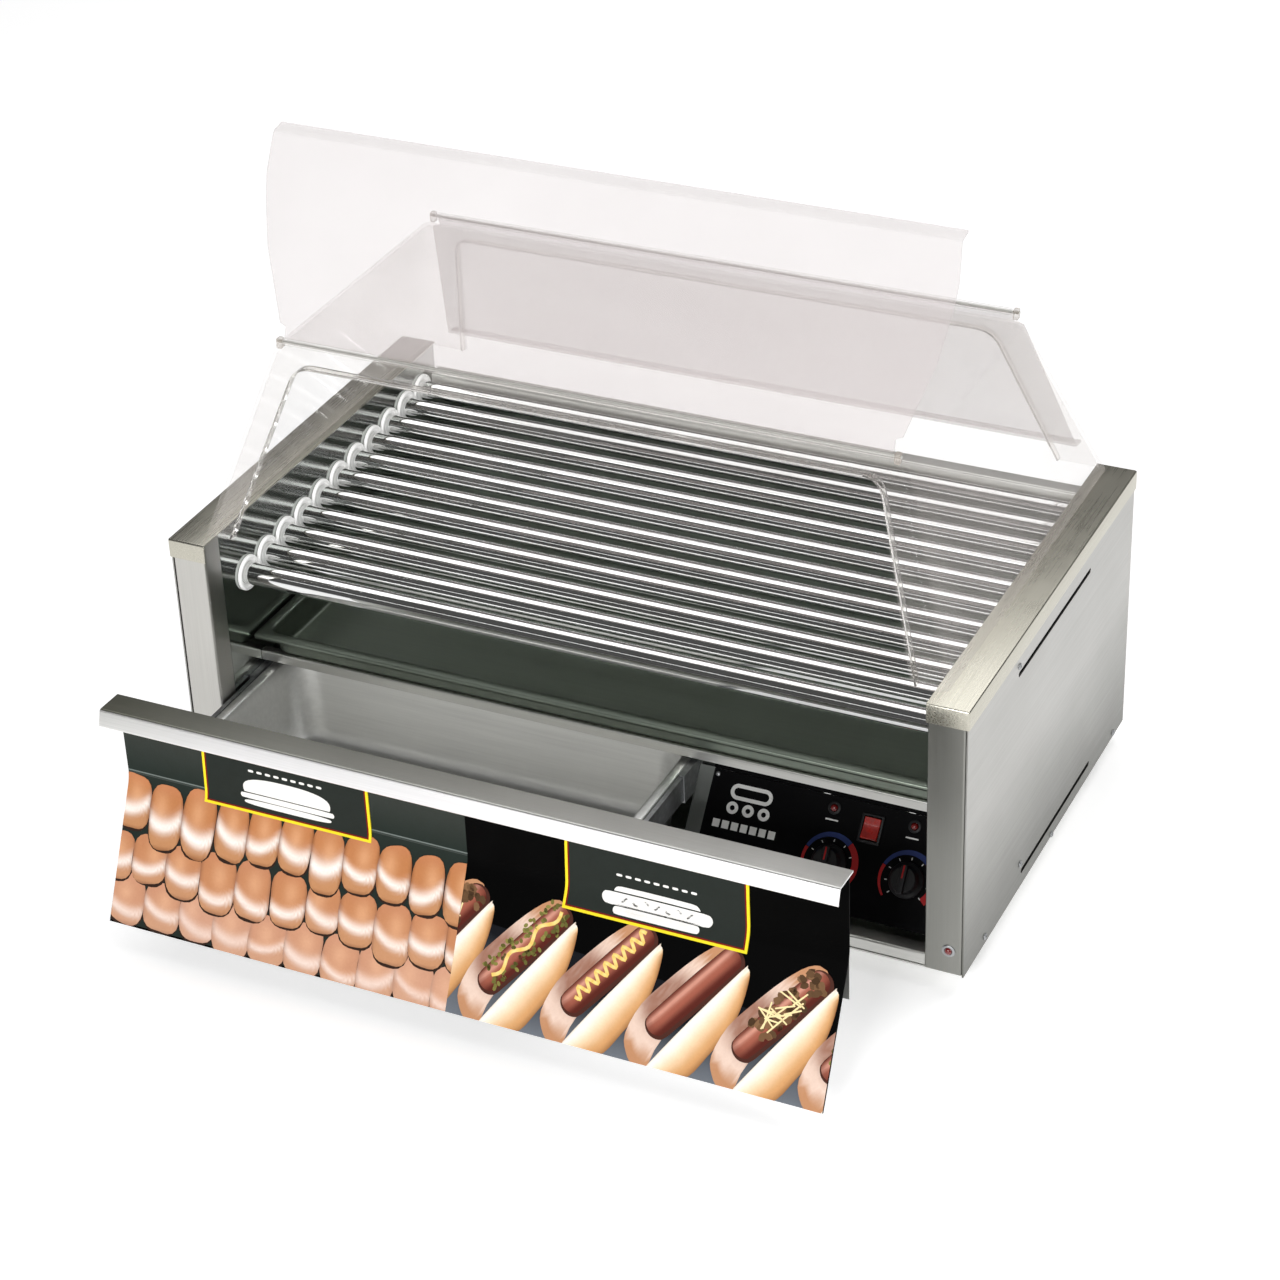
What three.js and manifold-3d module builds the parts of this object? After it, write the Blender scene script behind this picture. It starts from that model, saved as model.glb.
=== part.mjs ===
// Hot dog roller grill with a bun drawer and a clear hood, modelled drawer open and front door raised.
// Millimetres. +X is the grill's right as its user faces it, +Y runs to the back, +Z is up.
// Every place below is measured from the middle of the width, from the front of the two top caps
// and from the surface the grill stands on. The whole grill is then moved so that the middle of its
// overall depth is at Y 0.
import * as THREE from 'three';
import { mergeVertices } from 'three/addons/utils/BufferGeometryUtils.js';
import Module from 'manifold-3d';

const wasm = await Module();
wasm.setup();

// ---------------------------------------------------------------- driving dimensions

const WIDTH = 908;
const DEPTH = 520;
const FOOT_HEIGHT = 22;
const BODY_HEIGHT = 322;
const HOUSING_WIDTH = 44; // each side housing, which holds the roller ends
const SHEET = 1.5;
const GAP = 0.3; // between two pieces that touch
const MIDDLE_Y = 138.2; // middle of the overall depth, open drawer to rear door's lip

const TOP = FOOT_HEIGHT + BODY_HEIGHT;
const OUTER_X = WIDTH / 2;
const WALL_X = OUTER_X - HOUSING_WIDTH; // inner face of each inner wall
const BASE_TOP = FOOT_HEIGHT + 2;
const INNER_HALF = WALL_X - 0.5; // half width of what spans the two inner walls

const FRONT = SHEET + GAP; // front face of the posts, behind the cap's folded flange
const BACK = 517; // where the inner pieces end, just in front of the rear panel
const CAP_FLANGE = 22;
const CAP_UNDER = TOP - SHEET - GAP;
const PANEL_X = OUTER_X - SHEET - GAP; // outer face of each side panel
const POST_BACK = 30; // back edge of a post's inner fold
const POST_RETURN = 16; // back edge of its outer fold
const POST_LAMP = { x: 436, z: TOP - 292 };

const FOOT = { x: 425, front: 61, rear: 432, tread: 14, top: 16.5 };
const SIDE_VENT = { upper: [148, 374, TOP - 45], lower: [174, 397, TOP - 304], height: 6 };
const BASE_VENT = { half: 4, front: 160, back: 360, step: 100, last: 300 };
const REAR_PANEL_TOP = TOP - 34; // between the two housings
const LEDGE = { front: 498, top: TOP - 30, fold: 20 };
const GLAND = { x: 370, z: 70, bore: 5, neck: 8.6, hole: 9, collar: 14, tip: 12, length: 9.5 };

const ROLLER = { count: 11, radius: 12.7, bore: 11.2, firstY: 78.3, stepY: 40.21, stepZ: 2.87 };
ROLLER.firstZ = TOP - 74.5;
ROLLER.leftEnd = -424;
ROLLER.rightEnd = 428;

const HEATER = { radius: 4, left: -432, right: 400, bar: [-434, -430] };
const SPROCKET = { teeth: 12, tip: 15.2, root: 13.4, from: 418.5, to: 421.5 };
const CHAIN = { inside: 15.6, outside: 19.2, from: 417.8, to: 422.2 };
const MOTOR = { y: 300, z: TOP - 240, left: 290, radius: 24, gearbox: 352, halfGearbox: 28 };
MOTOR.shaft = { radius: 5, end: 425, wallHole: 7 };

const SEAL = { bore: 14, neck: 15.9, flange: 20, thick: 5, wallHole: 16.6 };

const TRAY = { front: 72, back: 482, rim: TOP - 150, depth: 30, halfWidth: 408, flange: 14 };
TRAY.corner = 10;
TRAY.inset = 4;
const RAIL = { front: 88, back: 100, top: TRAY.rim - TRAY.depth - GAP, height: 11.7 };
const REAR_REST = { front: 468, back: 480 };
const BOTTOM_RAIL = { front: 5, back: 25, top: TOP - 306 };

const HOOD = { sheet: 3, frame: 34, foot: 422, roof: 354, height: 208, base: TOP + GAP };
HOOD.front = { foot: 22, roof: 91 };
HOOD.back = { foot: 517, roof: 424 };
HOOD.opening = { halfFront: 326, halfBack: 317, backFrame: 22, below: 22, corner: 22, lean: 7 };

const HINGE = { rod: 1.6, curlBore: 2, curl: 4, halfCurl: 339, rise: 5, halfRod: 348 };
HINGE.ear = { near: 341, far: 347, half: 4, below: 7.5 };
const DOOR = { sheet: 3, length: 213, lip: 17, lipTurn: -58, curlTab: 16 };
// Each door's half widths at distances from its rod, and how far it is raised from level.
const FRONT_DOOR = { halfWidths: [[346, 19], [370, 95], [378, 145], [380, 172], [377, 213]], raised: 68.3 };
const REAR_DOOR = { halfWidths: [[350, 19], [386, 213]], raised: -65.4 };

const DRAWER_OPEN = 242; // how far the drawer stands out of its closed place
const DRAWER = { back: -188, top: TOP - 79, bend: TOP - 175, bottom: TOP - 316, bottomY: -256 };
DRAWER.half = 405;
DRAWER.sheet = 2;
const HANDLE = { back: -184, front: -218, top: TOP - 75, lip: 18, lean: 5, sheet: 2, half: 408 };
const SLIDE = { front: 60, length: 400, z: TOP - 214, right: 119, reach: 7.2 };
// Each slide member: its web's distance from the wall, web thickness, half height and lip.
SLIDE.fixed = { root: 0.3, web: 1.5, halfHeight: 17, lip: 1.8 };
SLIDE.middle = { root: 2.2, web: 1.2, halfHeight: 14.7, lip: 2.4 };
SLIDE.moving = { root: 3.8, web: 3.9, halfHeight: 11.8 };
const PAN = { left: -402, right: 111, front: -183, back: 135, rim: TOP - 198, floor: TOP - 300 };
PAN.flange = 12;
PAN.corner = 32;
PAN.inset = 12;

const CONTROL = { top: [98, TOP - 205], bottom: [25, TOP - 298], left: 137, right: 409.5, sheet: 2 };
const KNOB = { radius: 19, height: 21, grip: 3.5, bore: 3.6, up: -9.5 };
KNOB.places = { front_heat_knob: 284, rear_heat_knob: 370 };
const THERMOSTAT = { halfWidth: 19, halfHeight: 15, depth: 30, shaft: 3.1, shaftEnd: 13, shaftHole: 5 };
const SWITCH = { x: 320, up: 33.7, width: 18, height: 23, depth: 6, tilt: -7 };
const PILOTS = { front_pilot_lamp: 276, rear_pilot_lamp: 365 };
const PILOT_UP = 46.4;
const LAMP = { radius: 4, depth: 12, dome: 4.2 };

// ---------------------------------------------------------------- materials

const finish = (color, roughness, metalness, opacity = 1) =>
  new THREE.MeshStandardMaterial({ color, roughness, metalness, opacity, transparent: opacity < 1 });

const STEEL = finish(0xb9b9b4, 0.35, 0.9);
const POLISHED = finish(0x8d918c, 0.12, 1);
const CHROME = finish(0xe2e2e2, 0.06, 1);
const GALVANISED = finish(0x9aa0a3, 0.5, 0.8);
const CLEAR = finish(0xf4f1ea, 0.05, 0, 0.25);
const RUBBER = finish(0x151515, 0.85, 0);
const BLACK = finish(0x101010, 0.4, 0);
const WHITE = finish(0xf2f2f0, 0.5, 0);
const RED = finish(0x9c1210, 0.3, 0);
const GRAPHIC = finish(0x2a1d14, 0.35, 0);

// ---------------------------------------------------------------- geometry helpers

/** Keeps positions only, joins shared corners, drops empty faces and turns the faces outwards. */
function closed(geometry) {
  const bare = geometry.clone();
  bare.deleteAttribute('normal');
  bare.deleteAttribute('uv');
  const merged = mergeVertices(bare, 1e-4);
  const at = merged.attributes.position;
  const corners = merged.index.array;
  const faces = [];
  const [a, b, c] = [new THREE.Vector3(), new THREE.Vector3(), new THREE.Vector3()];
  let volume = 0;
  for (let i = 0; i < corners.length; i += 3) {
    const [p, q, r] = corners.slice(i, i + 3);
    if (p === q || q === r || r === p) {
      continue;
    }
    faces.push([p, q, r]);
    a.fromBufferAttribute(at, p);
    b.fromBufferAttribute(at, q);
    c.fromBufferAttribute(at, r);
    volume += a.dot(b.cross(c));
  }
  const outward = volume < 0 ? faces.map(([p, q, r]) => [p, r, q]) : faces;
  merged.setIndex(outward.flat());
  return merged;
}

function solid(geometry) {
  const shell = closed(geometry);
  const vertProperties = new Float32Array(shell.attributes.position.array);
  const triVerts = new Uint32Array(shell.index.array);
  return new wasm.Manifold(new wasm.Mesh({ numProp: 3, vertProperties, triVerts }));
}

function surface(manifold) {
  const mesh = manifold.getMesh();
  const geometry = new THREE.BufferGeometry();
  const positions = new Float32Array(mesh.vertProperties);
  geometry.setAttribute('position', new THREE.BufferAttribute(positions, 3));
  geometry.setIndex([...mesh.triVerts]);
  return geometry;
}

const join = (...pieces) => surface(pieces.map(solid).reduce((whole, piece) => whole.add(piece)));
const cut = (blank, ...tools) =>
  surface(tools.map(solid).reduce((left, tool) => left.subtract(tool), solid(blank)));

/** The mirror image across the middle of the width. */
const mirrored = (geometry) => closed(geometry.scale(-1, 1, 1));

/** A block between its lowest and highest corners. */
function block([x0, y0, z0], [x1, y1, z1]) {
  const geometry = new THREE.BoxGeometry(x1 - x0, y1 - y0, z1 - z0);
  return geometry.translate((x0 + x1) / 2, (y0 + y1) / 2, (z0 + z1) / 2);
}

const outline = (points) => new THREE.Shape(points.map(([u, v]) => new THREE.Vector2(u, v)));

const extrude = (shape, depth, curveSegments) =>
  new THREE.ExtrudeGeometry(shape, { depth, bevelEnabled: false, curveSegments });

const turned = (geometry, x, y, z) => geometry.applyMatrix4(new THREE.Matrix4().makeBasis(x, y, z));
const X = new THREE.Vector3(1, 0, 0);
const Y = new THREE.Vector3(0, 1, 0);
const Z = new THREE.Vector3(0, 0, 1);

/** A (y, z) shape carried along X. */
const alongX = (shape, x0, x1, curveSegments = 6) =>
  turned(extrude(shape, x1 - x0, curveSegments), Y, Z, X).translate(x0, 0, 0);

/** An (x, z) shape carried along Y. */
const alongY = (shape, y0, y1, curveSegments = 6) =>
  turned(extrude(shape, y1 - y0, curveSegments), X, Z, Y.clone().negate()).translate(0, y1, 0);

/** An (x, y) shape carried along Z. */
const alongZ = (shape, z0, z1, curveSegments = 6) =>
  extrude(shape, z1 - z0, curveSegments).translate(0, 0, z0);

/** A closed profile of [radius, height] points turned about Z. */
function turnedAboutZ(profile, segments) {
  const ring = [...profile, profile[0]].map(([radius, height]) => new THREE.Vector2(radius, height));
  return new THREE.LatheGeometry(ring, segments).rotateX(Math.PI / 2);
}

/** The same profile turned about X, with its heights as X. */
const turnedAboutX = (profile, segments) => turnedAboutZ(profile, segments).rotateY(Math.PI / 2);

const rodAlongX = (radius, x0, x1, y, z, segments = 12) =>
  turnedAboutX([[0, x0], [radius, x0], [radius, x1], [0, x1]], segments).translate(0, y, z);

const rodAlongY = (radius, y0, y1, x, z, segments = 12) =>
  new THREE.CylinderGeometry(radius, radius, y1 - y0, segments).translate(x, (y0 + y1) / 2, z);

const rodAlongZ = (radius, z0, z1, x, y, segments = 12) =>
  turnedAboutZ([[0, z0], [radius, z0], [radius, z1], [0, z1]], segments).translate(x, y, 0);

function ring(radius, u, v) {
  const path = new THREE.Path();
  path.absarc(u, v, radius, 0, 2 * Math.PI, true);
  return path;
}

/** A level slot with round ends in a (y, z) plane. */
function slot(y0, y1, z, height) {
  const radius = height / 2;
  const shape = new THREE.Shape();
  shape.absarc(y1 - radius, z, radius, -Math.PI / 2, Math.PI / 2, false);
  shape.absarc(y0 + radius, z, radius, Math.PI / 2, 3 * Math.PI / 2, false);
  return shape;
}

/** A block whose lower and upper ends differ; each end holds x0, x1, y0, y1 and z. */
function tapered(lower, upper) {
  const geometry = new THREE.BoxGeometry(1, 1, 1);
  const at = geometry.attributes.position;
  for (let i = 0; i < at.count; i += 1) {
    const end = at.getZ(i) < 0 ? lower : upper;
    at.setXYZ(i, at.getX(i) < 0 ? end.x0 : end.x1, at.getY(i) < 0 ? end.y0 : end.y1, end.z);
  }
  return geometry;
}

/** A rounded rectangle (x0, x1, y0, y1) from z0 to z1, its lower end drawn in by inset. */
function roundedTub({ x0, x1, y0, y1 }, z0, z1, radius, inset) {
  const shape = new THREE.Shape();
  shape.absarc(x1 - radius, y1 - radius, radius, 0, Math.PI / 2);
  shape.absarc(x0 + radius, y1 - radius, radius, Math.PI / 2, Math.PI);
  shape.absarc(x0 + radius, y0 + radius, radius, Math.PI, 1.5 * Math.PI);
  shape.absarc(x1 - radius, y0 + radius, radius, 1.5 * Math.PI, 2 * Math.PI);
  const geometry = alongZ(shape, z0, z1, 4);
  const at = geometry.attributes.position;
  const [middleX, middleY] = [(x0 + x1) / 2, (y0 + y1) / 2];
  const narrowX = 1 - (2 * inset) / (x1 - x0);
  const narrowY = 1 - (2 * inset) / (y1 - y0);
  for (let i = 0; i < at.count; i += 1) {
    if (at.getZ(i) < (z0 + z1) / 2) {
      at.setX(i, middleX + (at.getX(i) - middleX) * narrowX);
      at.setY(i, middleY + (at.getY(i) - middleY) * narrowY);
    }
  }
  return geometry;
}

/** A toothed wheel about X, centred on y and z. */
function sprocketWheel(y, z) {
  const points = [];
  for (let i = 0; i < 2 * SPROCKET.teeth; i += 1) {
    const radius = i % 2 ? SPROCKET.root : SPROCKET.tip;
    const angle = (Math.PI * i) / SPROCKET.teeth;
    points.push([radius * Math.cos(angle), radius * Math.sin(angle)]);
  }
  return alongX(outline(points), SPROCKET.from, SPROCKET.to).translate(0, y, z);
}

/** The loop that a belt of the given radius makes round wheels listed anticlockwise. */
function beltPath(kind, wheels, radius) {
  const path = new kind();
  wheels.forEach(([u, v], i) => {
    const before = wheels.at(i - 1);
    const after = wheels[(i + 1) % wheels.length];
    const start = Math.atan2(v - before[1], u - before[0]) - Math.PI / 2;
    const end = Math.atan2(after[1] - v, after[0] - u) - Math.PI / 2;
    path.absarc(u, v, radius, start, end, false);
  });
  return path;
}

// ---------------------------------------------------------------- the grill

const grill = new THREE.Group();
grill.position.y = -MIDDLE_Y;

function add(name, geometry, material, parent = grill) {
  const mesh = new THREE.Mesh(geometry, material);
  mesh.name = name;
  parent.add(mesh);
}

/** Adds a left piece and its mirror image; build(side) gives the geometry for side -1 or 1. */
function addPair(name, build, material) {
  add(`left_${name}`, build(-1), material);
  add(`right_${name}`, build(1), material);
}

/** A block on one side of the grill, between two distances from the middle. */
function sideBlock(side, near, far, y0, y1, z0, z1) {
  const [x0, x1] = side < 0 ? [-far, -near] : [near, far];
  return block([x0, y0, z0], [x1, y1, z1]);
}

const rollerAt = (i) => [ROLLER.firstY + i * ROLLER.stepY, ROLLER.firstZ + i * ROLLER.stepZ];
const ROLLER_ROW = Array.from({ length: ROLLER.count }, (_, i) => rollerAt(i));

// ---------------------------------------------------------------- body

/** The floor of the machine, with a row of vents across its middle. */
function basePan() {
  const half = PANEL_X - SHEET - GAP;
  const { half: ventHalf, front, back, step, last } = BASE_VENT;
  const vents = [];
  for (let x = -last; x <= last; x += step) {
    vents.push(block([x - ventHalf, front, 0], [x + ventHalf, back, TOP]));
  }
  return cut(block([-half, 4, FOOT_HEIGHT], [half, BACK, BASE_TOP]), ...vents);
}

function foot(x, y) {
  const profile = [[0, 0], [FOOT.tread, 0], [FOOT.top, FOOT_HEIGHT - GAP], [0, FOOT_HEIGHT - GAP]];
  return turnedAboutZ(profile, 16).translate(x, y, 0);
}

function sidePanel(side) {
  const plate = sideBlock(side, PANEL_X - SHEET, PANEL_X, FRONT, DEPTH - 1, FOOT_HEIGHT, CAP_UNDER);
  const vents = [SIDE_VENT.upper, SIDE_VENT.lower].map((place) => slot(...place, SIDE_VENT.height));
  return cut(plate, ...vents.map((vent) => alongX(vent, side * OUTER_X - 9, side * OUTER_X + 9)));
}

function innerWall(side) {
  const plate = sideBlock(side, WALL_X, WALL_X + SHEET, POST_BACK + GAP, BACK, BASE_TOP + GAP, CAP_UNDER);
  const drill = (radius, y, z) => rodAlongX(radius, side * WALL_X - 9, side * WALL_X + 9, y, z);
  const holes = ROLLER_ROW.map(([y, z]) => drill(SEAL.wallHole, y, z));
  if (side > 0) {
    holes.push(drill(MOTOR.shaft.wallHole, MOTOR.y, MOTOR.z));
  }
  return cut(plate, ...holes);
}

/** A folded channel: front face and a return along each edge. */
function frontPost(side) {
  const outer = PANEL_X - SHEET - GAP;
  const behind = FRONT + SHEET;
  const section = [
    [WALL_X, FRONT],
    [outer, FRONT],
    [outer, POST_RETURN],
    [outer - SHEET, POST_RETURN],
    [outer - SHEET, behind],
    [WALL_X + SHEET, behind],
    [WALL_X + SHEET, POST_BACK],
    [WALL_X, POST_BACK],
  ];
  const post = alongZ(outline(section.map(([x, y]) => [side * x, y])), BASE_TOP + GAP, CAP_UNDER);
  const lampHole = rodAlongY(LAMP.radius + 1, -2, 8, POST_LAMP.x, POST_LAMP.z);
  return side < 0 ? post : cut(post, lampHole);
}

/** The cap over a side housing: flat top with a flange folded down at the front and the outer side. */
function topCap(side) {
  const under = TOP - SHEET;
  const top = sideBlock(side, WALL_X - 1, OUTER_X, 0, DEPTH, under, TOP);
  const outerFlange = sideBlock(side, OUTER_X - SHEET, OUTER_X, 0, DEPTH, TOP - CAP_FLANGE, TOP);
  const frontFlange = sideBlock(side, WALL_X - 1, OUTER_X, 0, SHEET, TOP - CAP_FLANGE, TOP);
  return join(top, outerFlange, frontFlange);
}

function rearPanel() {
  const half = PANEL_X - SHEET - GAP;
  const low = BASE_TOP + GAP;
  const edge = [
    [-half, low],
    [half, low],
    [half, CAP_UNDER],
    [WALL_X + 2, CAP_UNDER],
    [WALL_X + 2, REAR_PANEL_TOP],
    [-WALL_X - 2, REAR_PANEL_TOP],
    [-WALL_X - 2, CAP_UNDER],
    [-half, CAP_UNDER],
  ];
  const plate = alongY(outline(edge), BACK + GAP, BACK + GAP + SHEET);
  return cut(plate, rodAlongY(GLAND.hole, BACK - 9, BACK + 9, GLAND.x, GLAND.z));
}

/** The flat ledge behind the last roller, folded down at the front. */
function rearLedge() {
  const { front, top } = LEDGE;
  const section = [
    [front, top],
    [BACK, top],
    [BACK, top - SHEET],
    [front + SHEET, top - SHEET],
    [front + SHEET, top - LEDGE.fold],
    [front, top - LEDGE.fold],
  ];
  const half = INNER_HALF - SEAL.thick - GAP; // stops short of the last pair of seals
  return alongX(outline(section), -half, half);
}

/** A channel between the inner walls, open at the bottom. */
function channelRail(y0, y1, z0, z1) {
  const section = [
    [y0, z0],
    [y0, z1],
    [y1, z1],
    [y1, z0],
    [y1 - SHEET, z0],
    [y1 - SHEET, z1 - SHEET],
    [y0 + SHEET, z1 - SHEET],
    [y0 + SHEET, z0],
  ];
  return alongX(outline(section), -INNER_HALF, INNER_HALF);
}

function cordGland() {
  const { bore, neck, collar, tip, length } = GLAND;
  const [inside, face, end] = [BACK - 10, BACK + GAP + SHEET + GAP, BACK + length];
  const profile = [
    [bore, inside],
    [neck, inside],
    [neck, face],
    [collar, face],
    [tip, end],
    [bore, end],
  ];
  return turnedAboutZ(profile, 16).rotateX(-Math.PI / 2).translate(GLAND.x, 0, GLAND.z);
}

add('base_pan', basePan(), GALVANISED);
for (const end of ['front', 'rear']) {
  addPair(`${end}_foot`, (side) => foot(side * FOOT.x, FOOT[end]), RUBBER);
}
addPair('side_panel', sidePanel, STEEL);
addPair('inner_wall', innerWall, POLISHED);
addPair('front_post', frontPost, STEEL);
addPair('top_cap', topCap, STEEL);
add('rear_panel', rearPanel(), STEEL);
add('rear_ledge', rearLedge(), STEEL);
const railFoot = RAIL.top - RAIL.height;
add('mid_rail', channelRail(RAIL.front, RAIL.back, railFoot, RAIL.top), STEEL);
add('tray_rear_rest', channelRail(REAR_REST.front, REAR_REST.back, railFoot, RAIL.top), GALVANISED);
const { front: railFront, back: railBack, top: railTop } = BOTTOM_RAIL;
add('bottom_rail', channelRail(railFront, railBack, BASE_TOP + GAP, railTop), STEEL);
add('cord_gland', cordGland(), BLACK);

// ---------------------------------------------------------------- rollers and their drive

function roller([y, z]) {
  const { radius, bore, leftEnd, rightEnd } = ROLLER;
  const blank = join(rodAlongX(radius, leftEnd, rightEnd, y, z, 20), sprocketWheel(y, z));
  return cut(blank, rodAlongX(bore, leftEnd - 9, rightEnd + 9, y, z, 20));
}

/** A (y, z) strip along the roller row, running past its end rollers by reach. */
function rowStrip(reach, halfHeight) {
  const [[y0, z0], [y1, z1]] = [ROLLER_ROW[0], ROLLER_ROW.at(-1)];
  return outline([
    [y0 - reach, z0 - halfHeight],
    [y1 + reach, z1 - halfHeight],
    [y1 + reach, z1 + halfHeight],
    [y0 - reach, z0 + halfHeight],
  ]);
}

/** Eleven ring seals, their necks carried through the wall into one strip inside the housing. */
function rollerSeals(side) {
  const inside = WALL_X - GAP;
  const stripFace = WALL_X + SHEET + GAP;
  const profile = [
    [0, inside - SEAL.thick],
    [SEAL.flange, inside - SEAL.thick],
    [SEAL.flange, inside],
    [SEAL.neck, inside],
    [SEAL.neck, stripFace + 1],
    [0, stripFace + 1],
  ];
  const rings = ROLLER_ROW.map(([y, z]) => turnedAboutX(profile, 12).translate(0, y, z));
  const strip = alongX(rowStrip(19, 17), stripFace, stripFace + 2);
  const bores = ROLLER_ROW.map(([y, z]) => rodAlongX(SEAL.bore, inside - 9, inside + 9, y, z));
  const seals = cut(join(strip, ...rings), ...bores);
  return side < 0 ? mirrored(seals) : seals;
}

/** Eleven heater rods, one down the middle of each roller, held by a bar in the left housing. */
function heatingElements() {
  const { radius, left, right, bar } = HEATER;
  const rods = ROLLER_ROW.map(([y, z]) => rodAlongX(radius, left, right, y, z, 8));
  return join(alongX(rowStrip(9, 8), ...bar), ...rods);
}

function driveChain() {
  const wheels = [ROLLER_ROW[0], [MOTOR.y, MOTOR.z], ROLLER_ROW.at(-1)];
  const loop = beltPath(THREE.Shape, wheels, CHAIN.outside);
  loop.holes.push(beltPath(THREE.Path, wheels, CHAIN.inside));
  return alongX(loop, CHAIN.from, CHAIN.to, 10);
}

/** Motor, gearbox and output shaft as one bought-in unit. */
function gearMotor() {
  const { y, z, left, radius, gearbox, halfGearbox: half, shaft } = MOTOR;
  return join(
    block([gearbox, y - half, z - half], [WALL_X - GAP, y + half, z + half]),
    rodAlongX(radius, left, gearbox + 4, y, z, 16),
    rodAlongX(shaft.radius, WALL_X - 10, shaft.end, y, z, 10),
  );
}

ROLLER_ROW.forEach((place, i) => add(`roller_${i + 1}`, roller(place), CHROME));
addPair('roller_seals', rollerSeals, WHITE);
add('heating_elements', heatingElements(), GALVANISED);
add('drive_chain', driveChain(), GALVANISED);
add('gear_motor', gearMotor(), GALVANISED);
const shaftBore = rodAlongX(MOTOR.shaft.radius + 0.4, WALL_X, OUTER_X, MOTOR.y, MOTOR.z);
add('motor_sprocket', cut(sprocketWheel(MOTOR.y, MOTOR.z), shaftBore), GALVANISED);

// ---------------------------------------------------------------- drip tray and bun pan

/** A pressed pan: a flat rim round a tub with sloping sides. */
function pressedPan(rim, rimWidth, rimTop, floor, radius, inset) {
  const shrunk = (by) => ({ x0: rim.x0 + by, x1: rim.x1 - by, y0: rim.y0 + by, y1: rim.y1 - by });
  const mouth = shrunk(rimWidth);
  const inner = shrunk(rimWidth + SHEET);
  const flange = roundedTub(rim, rimTop - SHEET, rimTop, 6, 0);
  const tub = roundedTub(mouth, floor, rimTop - SHEET / 2, radius, inset);
  const hollow = roundedTub(inner, floor + SHEET, rimTop + SHEET, radius - SHEET, inset);
  return cut(join(flange, tub), hollow);
}

function dripTray() {
  const rim = { x0: -TRAY.halfWidth, x1: TRAY.halfWidth, y0: TRAY.front, y1: TRAY.back };
  return pressedPan(rim, TRAY.flange, TRAY.rim, TRAY.rim - TRAY.depth, TRAY.corner, TRAY.inset);
}

function bunPan() {
  const rim = { x0: PAN.left, x1: PAN.right, y0: PAN.front, y1: PAN.back };
  return pressedPan(rim, PAN.flange, PAN.rim, PAN.floor, PAN.corner, PAN.inset);
}

add('drip_tray', dripTray(), STEEL);
add('bun_pan', bunPan(), STEEL);

// ---------------------------------------------------------------- bun drawer

/** A sheet with a vertical upper part that flares forward below the bend. */
function drawerFront() {
  const { back, top, bend, bottom, bottomY, sheet, half } = DRAWER;
  const section = [
    [back, top],
    [back, bend],
    [bottomY, bottom],
    [bottomY + sheet + 0.2, bottom],
    [back + sheet, bend - 1],
    [back + sheet, top],
  ];
  return alongX(outline(section), -half, half);
}

/** The full-width pull: a flat top with its front edge folded down as a finger lip. */
function drawerHandle() {
  const { back, front, top, lip, lean, sheet, half } = HANDLE;
  const section = [
    [back, top - sheet / 2],
    [front, top],
    [front - lean, top - lip],
    [front - lean + sheet, top - lip],
    [front + 1.7, top - sheet],
    [back, top - 1.5 * sheet],
  ];
  return alongX(outline(section), -half, half);
}

/** Carrier plate behind the front, the two moving slide bars and the cross bars that carry the pan. */
function drawerFrame() {
  const [plateFront, plateBack] = [DRAWER.back + DRAWER.sheet + GAP, HANDLE.back - 0.2];
  const { root, web, halfHeight } = SLIDE.moving;
  const [barLow, barHigh] = [SLIDE.z - halfHeight, SLIDE.z + halfHeight];
  const barBack = SLIDE.front + SLIDE.length - DRAWER_OPEN;
  const [left, right] = [-WALL_X, SLIDE.right];
  const underRim = PAN.rim - SHEET - GAP;
  const behindPan = PAN.back + 1;
  return join(
    block([-WALL_X + 6, plateFront, barLow - 3], [WALL_X - 6, plateBack, DRAWER.top - 1]),
    block([left + 8, plateBack - 0.5, underRim - SHEET], [right - 8, plateBack + 12.2, underRim]),
    block([left + root, plateBack - 0.7, barLow], [left + root + web, barBack, barHigh]),
    block([right - root - web, plateBack - 0.7, barLow], [right - root, barBack, barHigh]),
    block([left + 7.4, behindPan, barLow + 2], [right - 7.4, behindPan + SHEET, underRim - 0.5]),
    block([left + 7.6, behindPan - 11, underRim - SHEET], [right - 7.6, behindPan + 2, underRim]),
  );
}

/** A C-shaped slide member open towards the drawer; inward is the way from the wall to the drawer. */
function slideMember(wall, inward, { root, web, halfHeight, lip }, y0) {
  const { reach, z, length } = SLIDE;
  const across = (distance) => wall + inward * distance;
  const section = [
    [across(root), z - halfHeight],
    [across(reach), z - halfHeight],
    [across(reach), z - halfHeight + lip],
    [across(root + web), z - halfHeight + lip],
    [across(root + web), z + halfHeight - lip],
    [across(reach), z + halfHeight - lip],
    [across(reach), z + halfHeight],
    [across(root), z + halfHeight],
  ];
  return alongY(outline(section), y0, y0 + length);
}

add('drawer_front', drawerFront(), GRAPHIC);
add('drawer_handle', drawerHandle(), STEEL);
add('drawer_frame', drawerFrame(), STEEL);
for (const [side, wall, inward] of [['left', -WALL_X, 1], ['right', SLIDE.right, -1]]) {
  const halfOut = SLIDE.front - DRAWER_OPEN / 2; // the middle members come out half as far as the drawer
  const fixed = slideMember(wall, inward, SLIDE.fixed, SLIDE.front);
  const middle = slideMember(wall, inward, SLIDE.middle, halfOut);
  add(`${side}_slide_fixed_member`, fixed, GALVANISED);
  add(`${side}_slide_middle_member`, middle, GALVANISED);
}

// ---------------------------------------------------------------- control panel

const slopeY = CONTROL.top[0] - CONTROL.bottom[0];
const slopeZ = CONTROL.top[1] - CONTROL.bottom[1];
const slopeLength = Math.hypot(slopeY, slopeZ);

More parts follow.
